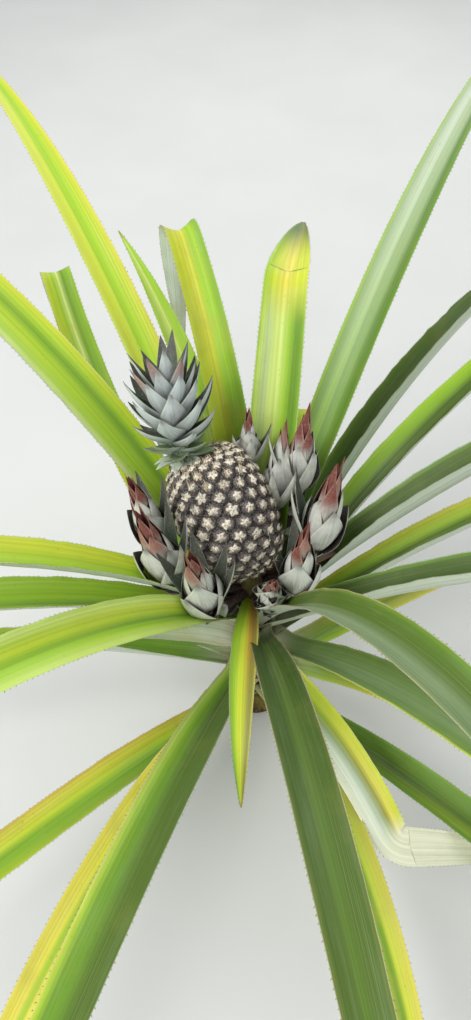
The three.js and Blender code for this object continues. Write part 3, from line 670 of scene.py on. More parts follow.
@once
def bract_tree():
    """Dry bracts that curve up over the eyes, several to an eye."""
    t = Tree("bracts_on_eyes", BRACT_INPUTS)
    long = t.input("Bract length")
    cone = t.cone(BRACT_SIDES, 4, 0.0, long * BRACT_SLIMNESS, long)
    x, y, z = t.split(t.node("GeometryNodeInputPosition"))
    shaped = t.moved(cone, t.point(x * BRACT_FLATNESS + z * z / long * BRACT_CURL, y, z))
    size = t.random(*BRACT_SIZES, t.input("Seed")) * t.named("size")
    return t.end(t.copies(t.input("Geometry"), shaped, t.eye_stand(), size))


def points_mesh(name, points, edges=(), **attributes):
    """A mesh of loose points or edges that carries a vector or a number for each point."""
    mesh = bpy.data.meshes.new(name)
    mesh.from_pydata([tuple(p) for p in points], list(edges), [])
    for key, values in attributes.items():
        values = np.asarray(values, np.float32)
        vectors = values.ndim == 2
        layer = mesh.attributes.new(key, "FLOAT_VECTOR" if vectors else "FLOAT", "POINT")
        layer.data.foreach_set("vector" if vectors else "value", values.ravel())
    return mesh


# Colours by place

def ease(value, low, high):
    share = np.clip((value - low) / (high - low), 0, 1)
    return share * share * (3 - 2 * share)


def hump(value, width):
    """1 where the value is 0, falling off on both sides over about the width."""
    return np.exp(-((value / width) ** 2))


def blend(a, b, share):
    """From a to b by a share for each place. Each is a colour's name, a colour or one for each place."""
    a, b = (ink(tone) if isinstance(tone, str) else tone for tone in (a, b))
    return a + (b - a) * np.asarray(share)[..., None]


def between(ends, share):
    """The value at a share of the way from the first end to the second."""
    return ends[0] + (ends[1] - ends[0]) * share


def stops(text, across):
    """Colours across a blade from stops such as "-1 leaf 0 lime 1 leaf"."""
    words = text.split()
    places = [float(word) for word in words[::2]]
    inks = np.array([ink(word) for word in words[1::2]])
    return np.stack([np.interp(across, places, inks[:, i]) for i in range(3)], axis=-1)


RIM_SOFTNESS = 0.12


def blade_places(mesh):
    """Across (-1 to 1), along (0 to 1) and whether on the underside, for each corner."""
    around, along = blade_map(mesh)
    above = ease(np.sin(around * math.tau), -RIM_SOFTNESS, RIM_SOFTNESS)
    return np.cos(around * math.tau), along, 1 - above


def paint(mesh, colours):
    layer = mesh.attributes.new("Tone", "FLOAT_COLOR", "CORNER")
    rows = np.ones((len(layer.data), 4), np.float32)
    rows[:, :3] = np.clip(colours, 0, 1)
    layer.data.foreach_set("color", rows.ravel())
    mesh.attributes.active_color = layer


# Where a change of colour starts and ends, as shares of a leaf's length
FOOT_TO_END = (0.1, 0.75)
AFTER_THE_FOLD = (0.02, 0.2)
BEFORE_THE_FOLD = (0.84, 0.97)
DRY_TIP = (0.965, 1.0)
# How far its foot is pale, in metres, and how strong the paler and browner marks are
PALE_FOOT_LENGTH = 0.05
RIM_BLOOM, PALE_FOOT, BROWN_LEAF, BROWN_RIM, BROWN_TIP = 0.2, 0.85, 0.9, 0.12, 0.7


def paint_leaf(mesh, look, long, foot="cream", under="silver", brown_from=None, tipped=True, before=None,
               after=None):
    """Colours a leaf by its look, which goes over from the stops before and into the stops after."""
    across, along, below = blade_places(mesh)
    top = blend(stops(look[0], across), stops(look[1], across), ease(along, *FOOT_TO_END))
    if before:
        top = blend(stops(before, across), top, ease(along, *AFTER_THE_FOLD))
    if after:
        top = blend(top, stops(after, across), ease(along, *BEFORE_THE_FOLD))
    lower = blend(under, "sage", RIM_BLOOM * np.abs(across) ** 3)
    tone = blend(top, lower, below)
    if foot:
        tone = blend(tone, foot, PALE_FOOT * hump(along * long, PALE_FOOT_LENGTH))
    if brown_from is not None:
        browned = ease(along + BROWN_RIM * np.abs(across), brown_from, 1.0)
        tone = blend(tone, "dry", BROWN_LEAF * browned)
    elif tipped:
        tone = blend(tone, "dry", BROWN_TIP * ease(along, *DRY_TIP))
    paint(mesh, tone)


# Materials

class Finish(Nodes):
    """A material under construction, with short calls for its nodes."""

    def __init__(self, name):
        self.material = bpy.data.materials.new(name)
        self.material.use_nodes = True
        super().__init__(self.material.node_tree)
        self.shader = self.nodes["Principled BSDF"]

    def noise(self, grains, detail, rough=0.5, stretch=None, where=None):
        """Grain in the piece's own space, so many grains to the metre."""
        where = where or self.node("ShaderNodeTexCoord", out="Object")
        if stretch:
            where = self.node("ShaderNodeMapping", {"Vector": where, "Scale": stretch})
        return self.node("ShaderNodeTexNoise", {"Vector": where, "Scale": grains, "Detail": detail,
                                               "Roughness": rough})

    def blade_noise(self, across, along, detail=2.0, rough=0.5):
        """Grain that follows a blade, so many grains round it and along it."""
        where = self.node("ShaderNodeUVMap", uv_map="Blade")
        return self.noise(1.0, detail, rough, (across, along, 1), where)

    def span(self, value, low, high, to_low=0.0, to_high=1.0):
        return self.node("ShaderNodeMapRange", {"Value": value, "From Min": low, "From Max": high,
                                               "To Min": to_low, "To Max": to_high})

    def cover(self, base, pattern, low, high, most, colour_over):
        """Lays a colour over the base as the pattern goes from low to high, up to a share of most."""
        node = self.nodes.new("ShaderNodeMix")
        node.data_type = "RGBA"
        share = self.span(pattern, low, high, 0.0, most)
        for place, value in zip((0, 6, 7), (share, base, colour_over)):
            self.join(node.inputs[place], value if isinstance(value, Wire) else (*value, 1.0))
        return Wire(self, node.outputs[2])

    def tone(self):
        return self.node("ShaderNodeVertexColor", layer_name="Tone")

    def end(self, base, gloss, grain, strength, distance, specular):
        bump = self.node("ShaderNodeBump", {"Height": grain, "Strength": strength, "Distance": distance})
        for key, value in (("Base Color", base), ("Roughness", gloss), ("Normal", bump)):
            self.join(self.shader.inputs[key], value)
        self.shader.inputs["Specular IOR Level"].default_value = specular
        return self.material


# Linear colours of the small marks that a finish lays over its tones
VEIN_GREEN, RIB_LIGHT = (0.05, 0.085, 0.012), (0.7, 0.76, 0.4)
BLOTCH_OLIVE, BLOOM_GREY, SPECK_BROWN = (0.42, 0.38, 0.06), (0.42, 0.5, 0.38), (0.1, 0.09, 0.03)
SCURF_VEIN, SCURF_PALE, SCURF_RED = (0.07, 0.06, 0.05), (0.72, 0.75, 0.7), (0.2, 0.11, 0.08)
SKIN_SCURF, SKIN_SHADE, SKIN_GRIT = (0.5, 0.45, 0.42), (0.05, 0.035, 0.03), (0.02, 0.015, 0.012)


def leaf_finish(name, bloom, blotch, rough):
    """Parallel veins along the blade, soft blotches, and a thin waxy bloom."""
    f = Finish(name)
    veins = f.blade_noise(46, 1.3)
    base = f.cover(f.tone(), veins, 0.38, 0.7, 0.24, VEIN_GREEN)
    base = f.cover(base, f.blade_noise(130, 2.2), 0.55, 0.75, 0.12, RIB_LIGHT)
    base = f.cover(base, f.noise(16.0, 5.0, 0.6), 0.5, 0.75, blotch, BLOTCH_OLIVE)
    base = f.cover(base, f.blade_noise(9, 6, 5.0, 0.65), 0.5, 0.72, bloom, BLOOM_GREY)
    base = f.cover(base, f.noise(260.0, 2.0), 0.66, 0.78, 0.25, SPECK_BROWN)
    gloss = f.span(veins, 0.3, 0.7, rough - 0.08, rough + 0.1)
    return f.end(base, gloss, veins, strength=0.35, distance=0.0012, specular=0.28)


def shoot_finish(name):
    """Scurfy, keeled leaves of the crown and the slips."""
    f = Finish(name)
    veins, scurf = f.blade_noise(60, 2.5), f.noise(420.0, 3.0, 0.65)
    base = f.cover(f.tone(), veins, 0.4, 0.7, 0.28, SCURF_VEIN)
    base = f.cover(base, scurf, 0.5, 0.72, 0.18, SCURF_PALE)
    base = f.cover(base, f.noise(60.0, 3.0), 0.5, 0.75, 0.3, SCURF_RED)
    gloss = f.span(scurf, 0.3, 0.7, 0.5, 0.72)
    return f.end(base, gloss, veins, strength=0.4, distance=0.0008, specular=0.35)


def fruit_finish():
    """Scurfy skin between near-black grooves, whose dark is painted shade."""
    f = Finish("pineapple_skin")
    scurf = f.noise(520.0, 4.0, 0.7)
    base = f.cover(f.tone(), scurf, 0.48, 0.7, 0.6, SKIN_SCURF)
    base = f.cover(base, f.noise(90.0, 3.0), 0.45, 0.7, 0.4, SKIN_SHADE)
    base = f.cover(base, f.noise(1400.0, 2.0), 0.6, 0.75, 0.5, SKIN_GRIT)
    gloss = f.span(scurf, 0.3, 0.7, 0.55, 0.8)
    return f.end(base, gloss, scurf, strength=0.5, distance=0.0008, specular=0.3)


def scurf_finish(name, pale, dark, grain):
    """A dry surface with darker grain, for stars, bracts and spines. Without pale it takes the tone."""
    f = Finish(name)
    coarse, fine = f.noise(grain, 4.0, 0.65), f.noise(grain * 4.0, 2.0)
    base = f.cover(ink(pale) if pale else f.tone(), coarse, 0.46, 0.72, 1.0, ink(dark))
    base = f.cover(base, fine, 0.55, 0.75, 0.35, ink(dark) * 0.5)
    gloss = f.span(coarse, 0.3, 0.7, 0.5, 0.75)
    return f.end(base, gloss, fine, strength=0.4, distance=0.0005, specular=0.3)


def stem_finish(name, pale, dark):
    """Fibres up the stem, with dark scars and lichen-pale patches."""
    f = Finish(name)
    fibres, cloud = f.noise(260.0, 4.0, 0.6, stretch=(1, 1, 0.12)), f.noise(34.0, 4.0)
    base = f.cover(ink(pale), fibres, 0.35, 0.65, 1.0, ink(dark))
    base = f.cover(base, cloud, 0.5, 0.72, 0.5, ink("straw") * 0.6)
    base = f.cover(base, f.noise(180.0, 2.0), 0.6, 0.72, 0.6, ink(dark) * 0.5)
    gloss = f.span(cloud, 0.3, 0.7, 0.7, 0.92)
    return f.end(base, gloss, fibres, strength=0.7, distance=0.0015, specular=0.25)


def floor_finish():
    f = Finish("plain_floor")
    cloud = f.noise(3.0, 3.0)
    base = f.cover(ink("floor"), cloud, 0.3, 0.7, 1.0, ink("floor") * 0.95)
    gloss = f.span(cloud, 0.3, 0.7, 0.75, 0.85)
    return f.end(base, gloss, f.noise(300.0, 2.0), strength=0.05, distance=0.0005, specular=0.2)


FINISHES = {
    "leaf_sunlit": lambda: leaf_finish("leaf_sunlit", bloom=0.05, blotch=0.14, rough=0.46),
    "leaf_shaded": lambda: leaf_finish("leaf_shaded", bloom=0.09, blotch=0.1, rough=0.48),
    "leaf_aged": lambda: leaf_finish("leaf_aged", bloom=0.12, blotch=0.5, rough=0.58),
    "leaf_underside": lambda: leaf_finish("leaf_underside", bloom=0.2, blotch=0.12, rough=0.6),
    "crown": lambda: shoot_finish("crown_leaves"),
    "slip": lambda: shoot_finish("slip_leaves"),
    "fruit": fruit_finish,
    "fruit_stars": lambda: scurf_finish("fruit_stars", None, "fruit_cushion", 420.0),
    "fruit_bracts": lambda: scurf_finish("fruit_bracts", "fruit_bract", "fruit_groove", 300.0),
    "leaf_spines": lambda: scurf_finish("leaf_spines", "russet", "dry", 300.0),
    "stem": lambda: stem_finish("stem_bark", "stem_brown", "stem_dark"),
    "fruit_stalk": lambda: stem_finish("stalk_skin", "stalk_green", "stem_brown"),
    "floor": floor_finish,
}


@once
def finish(name):
    return FINISHES[name]()


# Pieces

def add_piece(name, mesh, slot, *nodes, sharp=50):
    """Puts a finished mesh on the plant, for the CAD nodes that it stands for."""
    mesh.name = name
    mesh.shade_smooth()
    mesh.set_sharp_from_angle(angle=math.radians(sharp))
    piece = add_to_scene(name, mesh)
    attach(piece, "root")
    if nodes:
        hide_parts(*nodes)


def join_meshes(name, meshes):
    """One mesh out of several that have the same attributes."""
    parts = [add_to_scene("part", mesh) for mesh in meshes]
    with bpy.context.temp_override(active_object=parts[0], object=parts[0], selected_objects=parts,
                                   selected_editable_objects=parts):
        bpy.ops.object.join()
    whole = parts[0].data.copy()
    whole.name = name
    bpy.data.objects.remove(parts[0])
    return whole


def ring_of(centre, east, north, radii, angles):
    """Points round a centre, at a radius for each angle."""
    return [centre + (east * math.cos(angle) + north * math.sin(angle)) * float(radius)
            for angle, radius in zip(angles, radii)]


def tube(name, rings, first, last, material):
    """A closed tube through rings of points, in millimetres, with a point at each end."""
    sides, faces = len(rings[0]), []
    for start in range(0, (len(rings) - 1) * sides, sides):
        for i in range(sides):
            a, b = start + i, start + (i + 1) % sides
            faces.append((a, b, b + sides, a + sides))
    end = (len(rings) - 1) * sides
    for i in range(sides):
        faces.append((end + sides, (i + 1) % sides, i))
        faces.append((end + sides + 1, end + i, end + (i + 1) % sides))
    points = np.array([*(point for ring in rings for point in ring), first, last]) * MM
    mesh = bpy.data.meshes.new(name)
    mesh.from_pydata(points.tolist(), [], faces)
    mesh.materials.append(material)
    return outwards(mesh)


def angles_round(sides):
    return np.linspace(0, math.tau, sides, endpoint=False)


def axis_point(z):
    share = (z / FRUIT_FOOT.z) ** 2
    return Vector((FRUIT_FOOT.x * share, FRUIT_FOOT.y * share, z))


def axis_radius(z):
    if z > STEM_TOP:
        return STALK_RADIUS
    flare = (STEM_FOOT_RADIUS - STEM_RADIUS) * math.exp(-z / STEM_FLARE)
    return STEM_RADIUS + (STEM_TOP_RADIUS - STEM_RADIUS) * (z / STEM_TOP) ** 2 + flare


def direction(turn, rise=0.0):
    turn, rise = math.radians(turn), math.radians(rise)
    return Vector((math.cos(rise) * math.cos(turn), math.cos(rise) * math.sin(turn), math.sin(rise)))


def tilt_of(axis):
    return UP.rotation_difference(axis)


def leaf_start(turn, height):
    return axis_point(height) + direction(turn) * (axis_radius(height) - LEAF_SINK)


def leaf_slot(name):
    for slot, starts in LEAF_SLOTS.items():
        if name.startswith(starts):
            return slot
    return "leaf_shaded"


def fold_point(leaf):
    """Where a folded leaf ends, and its turn and rise there."""
    turn, rise, droop, sway, long, height, _, fold, swing, _ = leaf
    point = leaf_start(turn, height)
    for i in range(LINE_STEPS + 1):
        share = i / LINE_STEPS
        bent = float(ease(share * long, long - FOLD_LENGTH, long))
        heading = turn + sway * share + bent * swing
        slope = rise - droop * share ** DROOP_POWER - bent * fold
        ahead = direction(heading, slope)
        if i < LINE_STEPS:
            point += ahead * (long / LINE_STEPS)
    return point + ahead * FOLD_GAP, heading, slope


# The margins of the leaves built so far, each with the way out of the leaf along it
_margins = []
SPINELESS_FOOT = 0.06
SPINELESS_RINGS = 2
ON_RIM = 1e-4


def keep_margins(mesh):
    """Remembers a blade's two margins, from foot to tip, for the spines."""
    around, along = blade_map(mesh)
    corner_points, points = point_of_corner(mesh), points_of(mesh)
    sides = []
    for rim in (np.minimum(around, 1 - around) < ON_RIM, np.abs(around - 0.5) < ON_RIM):
        _, first = np.unique(np.round(along[rim], 5), return_index=True)
        sides.append(points[corner_points[rim][first]])
    count = min(map(len, sides))
    right, left = (side[:count] for side in sides)
    out = right - left
    out /= np.maximum(np.linalg.norm(out, axis=1), 1e-9)[:, None]
    keep = slice(int(count * SPINELESS_FOOT), count - SPINELESS_RINGS)
    _margins.append((right[keep], out[keep]))
    _margins.append((left[keep], -out[keep]))


SEED_STEP = 3.7
LOW_LEAF_BROWN_FROM = 0.8
STALK_LEAF_CLASP = 0.1
STALK_LEAF_THICKNESS = 0.7
STALK_LEAF_RIPPLE = 0.3


def build_leaves():
    scene_sizes = sizes()
    for count, (name, leaf) in enumerate(LEAVES.items()):
        turn, rise, droop, sway, long, height, width, *folded = leaf
        fold, swing, _ = folded or (0, 0, 0)
        look, slot, stalk = LOOKS.get(name, LOW_LOOK), leaf_slot(name), name.startswith("stalk")
        mesh = blade_tree().grow(
            finish(slot), Start=leaf_start(turn, height) * MM, Turn=turn, Rise=rise, Droop=droop, Sway=sway,
            Length=long * MM, Width=width * MM, Channel=look[2], Roll=look[3], Fold=fold, Swing=swing,
            Lost=FOLD_LOSS if folded else TIP_LOSS, Clasp=STALK_LEAF_CLASP if stalk else scene_sizes.clasp,
            Thickness=scene_sizes.leaf_thickness * (STALK_LEAF_THICKNESS if stalk else 1),
            Ripple=scene_sizes.ripple * (STALK_LEAF_RIPPLE if stalk else 1), Seed=count * SEED_STEP)
        paint_leaf(mesh, look, long * MM, foot=None if stalk else "cream",
                   under="cream" if name in CREAM_UNDER else "silver",
                   brown_from=LOW_LEAF_BROWN_FROM if name.startswith("leaf_low") else None,
                   tipped=not folded, after=END_LOOKS[f"{name}_end"][0] if name in PALE_FOLDS else None)
        keep_margins(mesh)
        add_piece(f"{name}_blade", mesh, slot, name)
        if folded:
            build_folded_end(name, leaf, look, count * SEED_STEP + 1)


END_OVERLAP = 0.2
END_CHANNEL_LOSS = 0.3
END_THICKNESS = 0.56
END_RIPPLE = 0.5
END_BROWN_FROM = 0.8


def build_folded_end(name, leaf, leaf_look, seed):
    """What hangs beyond a leaf's fold. It starts a little before the leaf's own end."""
    point, turn, rise = fold_point(leaf)
    end, width, long, broad = f"{name}_end", leaf[6], leaf[9] * MM, 1 - FOLD_LOSS
    slot = leaf_slot(end)
    mesh = blade_tree().grow(
        finish(slot), Start=(point - direction(turn, rise) * END_OVERLAP) * MM, Turn=turn, Rise=rise,
        Droop=REST_DROOP, Length=long, Width=width * MM, Foot_share=broad, Broad_share=broad, Widest_at=0,
        Lost=1 - REST_TIP_SHARE / broad, Taper=REST_TAPER, Channel=leaf_look[2] * (1 - CHANNEL_LOSS),
        Channel_loss=END_CHANNEL_LOSS, Thickness=sizes().leaf_thickness * END_THICKNESS,
        Ripple=sizes().ripple * END_RIPPLE, Seed=seed)
    paint_leaf(mesh, END_LOOKS[end], long, foot=None, under="cream" if end in CREAM_UNDER else "silver",
               brown_from=END_BROWN_FROM if slot == "leaf_aged" else None,
               before=None if name in PALE_FOLDS else leaf_look[1])
    keep_margins(mesh)
    add_piece(f"{end}_blade", mesh, slot, end)


def build_spines():
    points, away, edges = [], [], []
    for line, out in _margins:
        first = len(points)
        points.extend(line)
        away.extend(out)
        edges.extend((first + i, first + i + 1) for i in range(len(line) - 1))
    source = points_mesh("margins", points, edges, away=away)
    mesh = spine_tree().grow(finish("leaf_spines"), source, Length=sizes().spine_length,
                             Spacing=sizes().spine_spacing)
    add_piece("leaf_spines", mesh, "leaf_aged", sharp=30)


SHOOT_BLADE = {"Lost": 0.97, "Taper": 1.45, "Channel_loss": 0.45, "Thickness": 0.0022, "Ripple": 0.0008,
               "Steps_along": 16, "Points_round": 16}
# Where a shoot's leaf changes colour, as shares of its length or half its width, and how strongly
SHOOT_TIP, SHOOT_TIP_SHADE = (0.84, 1.0), 0.8
SHOOT_RIM, SHOOT_RIM_LIGHT = (0.86, 1.0), 0.5
SHOOT_END_FADE = 0.3
KEEL_WIDTH, KEEL_SHADE = 0.1, 0.14


def shoot_blade(slot, axis_turn, foot, heading, lean, curl, long, width, look, seed, broad_at=0.36,
                foot_share=0.82, early=1.5, channel=0.62):
    """One leaf of a crown or a slip. Heading is its turn about the shoot's axis and lean its slope
    from that axis, in degrees. The look is its outside's colour at its foot and at its end, where
    the second starts, its inside's colour and its tip's."""
    outer_foot, outer_end, end_from, inner, tip = look
    mesh = blade_tree().grow(
        finish(slot), Start=foot * MM, Stand=axis_turn.to_euler("XYZ"), Turn=heading, Rise=90 - lean,
        Droop=curl, Length=long * MM, Width=width * MM, Foot_share=foot_share, Widest_at=broad_at,
        Channel=channel, Droop_power=early, Seed=seed, **SHOOT_BLADE)
    across, along, below = blade_places(mesh)
    outer = blend(outer_foot, outer_end, ease(along, end_from, end_from + SHOOT_END_FADE))
    outer = blend(outer, "crown_green", KEEL_SHADE * hump(across, KEEL_WIDTH))
    tone = blend(blend(inner, tip, along), outer, below)
    tone = blend(tone, tip, SHOOT_TIP_SHADE * ease(along, *SHOOT_TIP))
    paint(mesh, blend(tone, "cream", SHOOT_RIM_LIGHT * ease(np.abs(across), *SHOOT_RIM) * below))
    return mesh


CROWN_RING = 9
CROWN_JITTER, CROWN_LENGTH_JITTER = 8, (0.9, 1.08)
# A first value, and then how much comes on between two shares of the way in
CROWN_LENGTHS, CROWN_SHRINK = (36, (42, 0.05, 0.5)), 2
CROWN_WIDTHS = (21, (11, 0.05, 0.4), (-9, 0.55, 1))
CROWN_CURLS = (-34, (-6, 0, 0.4), (34, 0.4, 1))
CROWN_LEANS, CROWN_LEAN_POWER = (92, 22), 0.72
CROWN_OUTER_SHARE, CROWN_INNER_SHARE = 0.2, 0.72
CROWN_BASE_BLADES = 11
CROWN_BASE_WIDTH = 14
CROWN_BASE_DROP = 2
CROWN_BASE_JITTER = 9
CROWN_BASE_LEANS, CROWN_BASE_CURLS, CROWN_BASE_LENGTHS = (84, 112), (-10, 30), (22, 31)
CROWN_BASE_SEED = 60
CROWN_LOOK = ("crown_silver", "crown_silver", 0.5, "crown_green", "crown_tip")
CROWN_PINK_LOOK = ("crown_silver", "crown_pink", 0.5, "crown_green", "crown_tip")
CROWN_OUTER_LOOK = ("crown_silver", "sage", 0.3, "sage_leaf", "sage")
CROWN_BASE_LOOK = ("crown_silver", "silver_leaf", 0.3, "silver_leaf", "crown_silver")
CROWN_LIME_LOOK = ("crown_silver", "lime", 0.3, "silver_leaf", "crown_silver")


def ramp(rule, share):
    """The value of a rule at a share: its first value and what its steps have added by then."""
    first, *steps = rule
    return first + sum(amount * ease(share, low, high) for amount, low, high in steps)


def build_crown():
    """Leaves from the outermost (share 0), which lie back, to the innermost (1), which stand."""
    axis_turn = tilt_of(CROWN_AXIS)
    count = sizes().crown_blades
    rng = np.random.default_rng(CROWN_SEED)
    blades = []
    for i in range(count):
        share = i / (count - 1)
        turn = GOLDEN_TURN * i + rng.uniform(-CROWN_JITTER, CROWN_JITTER)
        level = 1 + share * CROWN_LENGTH * CROWN_SPREAD
        foot = CROWN_FOOT + CROWN_AXIS * level + (axis_turn @ direction(turn)) * (CROWN_RING * (1 - share))
        long = (ramp(CROWN_LENGTHS, share) - CROWN_SHRINK * share) * rng.uniform(*CROWN_LENGTH_JITTER)
        lean = between(CROWN_LEANS, share ** CROWN_LEAN_POWER)
        look = CROWN_LOOK
        if share > CROWN_INNER_SHARE and i % 2:
            look = CROWN_PINK_LOOK
        elif share < CROWN_OUTER_SHARE:
            look = CROWN_OUTER_LOOK
        blades.append(shoot_blade("crown", axis_turn, foot, turn, lean, ramp(CROWN_CURLS, share), long,
                                  ramp(CROWN_WIDTHS, share), look, i))
    for i in range(CROWN_BASE_BLADES):
        turn = 360 / CROWN_BASE_BLADES * i + rng.uniform(-CROWN_BASE_JITTER, CROWN_BASE_JITTER)
        foot = CROWN_FOOT - CROWN_AXIS * CROWN_BASE_DROP + (axis_turn @ direction(turn)) * CROWN_RING
        lean, curl, long = (rng.uniform(*ends) for ends in
                            (CROWN_BASE_LEANS, CROWN_BASE_CURLS, CROWN_BASE_LENGTHS))
        blades.append(shoot_blade("crown", axis_turn, foot, turn, lean, curl, long, CROWN_BASE_WIDTH,
                                  CROWN_BASE_LOOK if i % 3 else CROWN_LIME_LOOK, CROWN_BASE_SEED + i))
    add_piece("crown_leaves", join_meshes("crown_leaves", blades), "crown", "crown")


NECK_SIDES = 16
NECK_RINGS = 9
NECK_RADII = (6, 8)
# The thick heart of a slip: how far up the slip each ring lies, and its radius in a slip 40 mm wide
SLIP_HEART = ((0.1, 12), (0.25, 13), (0.5, 10), (0.7, 4))
SLIP_HEART_POINT = 0.05
SLIP_FULL_WIDTH = 40
NEARLY_NORTH = 0.8
# Where a point of the neck's surface lies on the map of a blade, so that it takes the slip's finish
NECK_ON_BLADE = (0.3, 0.5)


class Neck:
    """The bent line from the fruit's stalk to a slip's foot."""

    def __init__(self, foot):
        self.stalk, self.foot = axis_point(SLIP_START), foot
        self.elbow = Vector((foot.x, foot.y, SLIP_START + (foot.z - SLIP_START) * SLIP_ELBOW))

    def at(self, share):
        """The point at a share of the line, and the way ahead there."""
        rest = 1 - share
        point = self.stalk * rest ** 2 + self.elbow * (2 * share * rest) + self.foot * share ** 2
        return point, ((self.elbow - self.stalk) * rest + (self.foot - self.elbow) * share).normalized()

    def mesh(self, name, axis, width):
        """The neck's surface and the heart of the slip on it."""
        rings = []
        for share in np.linspace(0, 1, NECK_RINGS):
            rings.append((*self.at(float(share)), between(NECK_RADII, share)))
        for share, radius in SLIP_HEART:
            rings.append((self.foot + axis * share, axis.normalized(), radius * width / SLIP_FULL_WIDTH))
        angles, circles = angles_round(NECK_SIDES), []
        for centre, ahead, radius in rings:
            east = (NORTH if abs(ahead.y) < NEARLY_NORTH else EAST).cross(ahead).normalized()
            circles.append(ring_of(centre, east, ahead.cross(east), [radius] * NECK_SIDES, angles))
        mesh = tube(name, circles, rings[0][0], rings[-1][0] + axis * SLIP_HEART_POINT, finish("slip"))
        layer = mesh.attributes.new("Blade", "FLOAT2", "CORNER")
        layer.data.foreach_set("vector", np.tile(NECK_ON_BLADE, len(layer.data)).astype(np.float32))
        # Painted shade: the whole neck takes the dark of a slip's shaded inside.
        paint(mesh, np.tile(ink("slip_dark"), (len(layer.data), 1)))
        return mesh


# The scales on a neck: how many, where the first one stands and how far on the next one does
NECK_SCALES, FIRST_SCALE, SCALE_STEP = 9, 0.25, 0.09
SCALE_LEAN, SCALE_CURL, SCALE_LENGTH, SCALE_WIDTH = 44, -40, 34, 24
# The slender leaves beside a slip. Their length and width are shares of the slip's own.
SWORD_STEP, SWORD_JITTER, SWORD_OFFSET = 52, 12, 6
SWORD_LEAN, SWORD_CURL, SWORD_LENGTH, SWORD_WIDTH = 34, -26, 0.82, 0.42
# From a slip's outermost leaf to its innermost, lengths as shares of the slip's height or width
SLIP_LEAF_START, SLIP_LEAF_LENGTH, SLIP_LEAF_WIDTH = (-0.04, 0.2), (0.52, 0.82), (1.04, 0.48)
SLIP_LEAF_LEAN, SLIP_LEAN_POWER, SLIP_LEAF_CURL = (58, 7), 0.75, (-70, -8)
SLIP_LEAF_BROADEST, SLIP_LEAF_RING = (0.44, 0.28), (7, 0)
SLIP_JITTER, SLIP_LENGTH_JITTER, SLIP_WIDTH_JITTER = 6, (0.92, 1.06), (0.94, 1.06)
# The scales' inner faces take the painted shade of a slip's inside.
SCALE_LOOK = ("slip_silver", "sage", 0.4, "slip_dark", "crown_tip")
SWORD_LOOK = ("slip_silver", "slip_silver", 0.5, "crown_green", "crown_tip")
# Each slip has its own stretch of blade seeds, with its scales and swords after its leaves
SLIP_SEEDS = 50
SCALE_SEEDS = 30
SWORD_SEEDS = 40
# From which share of the way in a slip's leaves are red or pink, and how much sooner in a red slip
RED_FROM, RED_SOONER = 1, 0.28
PINK_FROM, PINK_SOONER = 0.8, 0.5
RED_TIP_FROM = 0.4


def slip_look(share, red, odd):
    """The look of a slip's leaf, by how far in it stands and how red the slip is."""
    # Every leaf's inner face gets the painted shade of the slip's inside.
    if share > RED_FROM - RED_SOONER * red:
        return "slip_red", "slip_red", 0.3, "slip_dark", "slip_red"
    if share > PINK_FROM - PINK_SOONER * red:
        return "slip_silver", "slip_red" if odd else "slip_pink", 0.5, "slip_dark", "slip_red"
    tip = "slip_red" if share > RED_TIP_FROM else "crown_tip"
    return "slip_silver", "slip_silver", 0.6, "slip_dark", tip


def build_slips():
    """Each slip has scales along its neck, slender leaves beside it, and leaves from the outermost
    (share 0) to the innermost (1)."""
    count = sizes().slip_blades
    for number, (name, slip) in enumerate(SLIPS.items()):
        turn, reach, height, tip_reach, tip_height, width, red, swords = slip
        rng = np.random.default_rng(FIRST_SLIP_SEED + number)
        foot = Vector((FRUIT_FOOT.x, FRUIT_FOOT.y, height)) + direction(turn) * reach
        axis = Vector((FRUIT_FOOT.x, FRUIT_FOOT.y, tip_height)) + direction(turn) * tip_reach - foot
        tall, pole = axis.length, axis.normalized()
        axis_turn, seed = tilt_of(pole), number * SLIP_SEEDS
        neck = Neck(foot)
        blades = [neck.mesh(f"{name}_neck", axis, width)]
        for i in range(NECK_SCALES):
            here, ahead = neck.at(FIRST_SCALE + SCALE_STEP * i)
            blades.append(shoot_blade("slip", tilt_of(ahead), here, GOLDEN_TURN * i + turn, SCALE_LEAN,
                                      SCALE_CURL, SCALE_LENGTH, SCALE_WIDTH, SCALE_LOOK,
                                      seed + SCALE_SEEDS + i, early=0.6))
        for i in range(swords):
            spin = turn + 180 + (i - 1) * SWORD_STEP + rng.uniform(-SWORD_JITTER, SWORD_JITTER)
            start = foot + (axis_turn @ direction(spin) - pole) * SWORD_OFFSET
            blades.append(shoot_blade("slip", axis_turn, start, spin, SWORD_LEAN, SWORD_CURL,
                                      tall * SWORD_LENGTH, width * SWORD_WIDTH, SWORD_LOOK,
                                      seed + SWORD_SEEDS + i, early=0.7))
        for i in range(count):
            share = i / (count - 1)
            spin = GOLDEN_TURN * i + turn + rng.uniform(-SLIP_JITTER, SLIP_JITTER)
            out = axis_turn @ direction(spin) * (between(SLIP_LEAF_RING, share) * width / SLIP_FULL_WIDTH)
            start = foot + pole * (tall * between(SLIP_LEAF_START, share)) + out
            long = tall * between(SLIP_LEAF_LENGTH, share) * rng.uniform(*SLIP_LENGTH_JITTER)
            wide = width * between(SLIP_LEAF_WIDTH, share) * rng.uniform(*SLIP_WIDTH_JITTER)
            lean = between(SLIP_LEAF_LEAN, share ** SLIP_LEAN_POWER)
            blades.append(shoot_blade("slip", axis_turn, start, spin, lean, between(SLIP_LEAF_CURL, share),
                                      long, wide, slip_look(share, red, i % 2), seed + i,
                                      broad_at=between(SLIP_LEAF_BROADEST, share), foot_share=0.74,
                                      early=0.5, channel=0.55))
        add_piece(f"{name}_leaves", join_meshes(f"{name}_leaves", blades), "slip", name)


def fruit_radius(slope):
    return FRUIT_END_RADIUS + (FRUIT_WIDTH / 2 - FRUIT_END_RADIUS) * np.cos(slope) ** FRUIT_FULLNESS


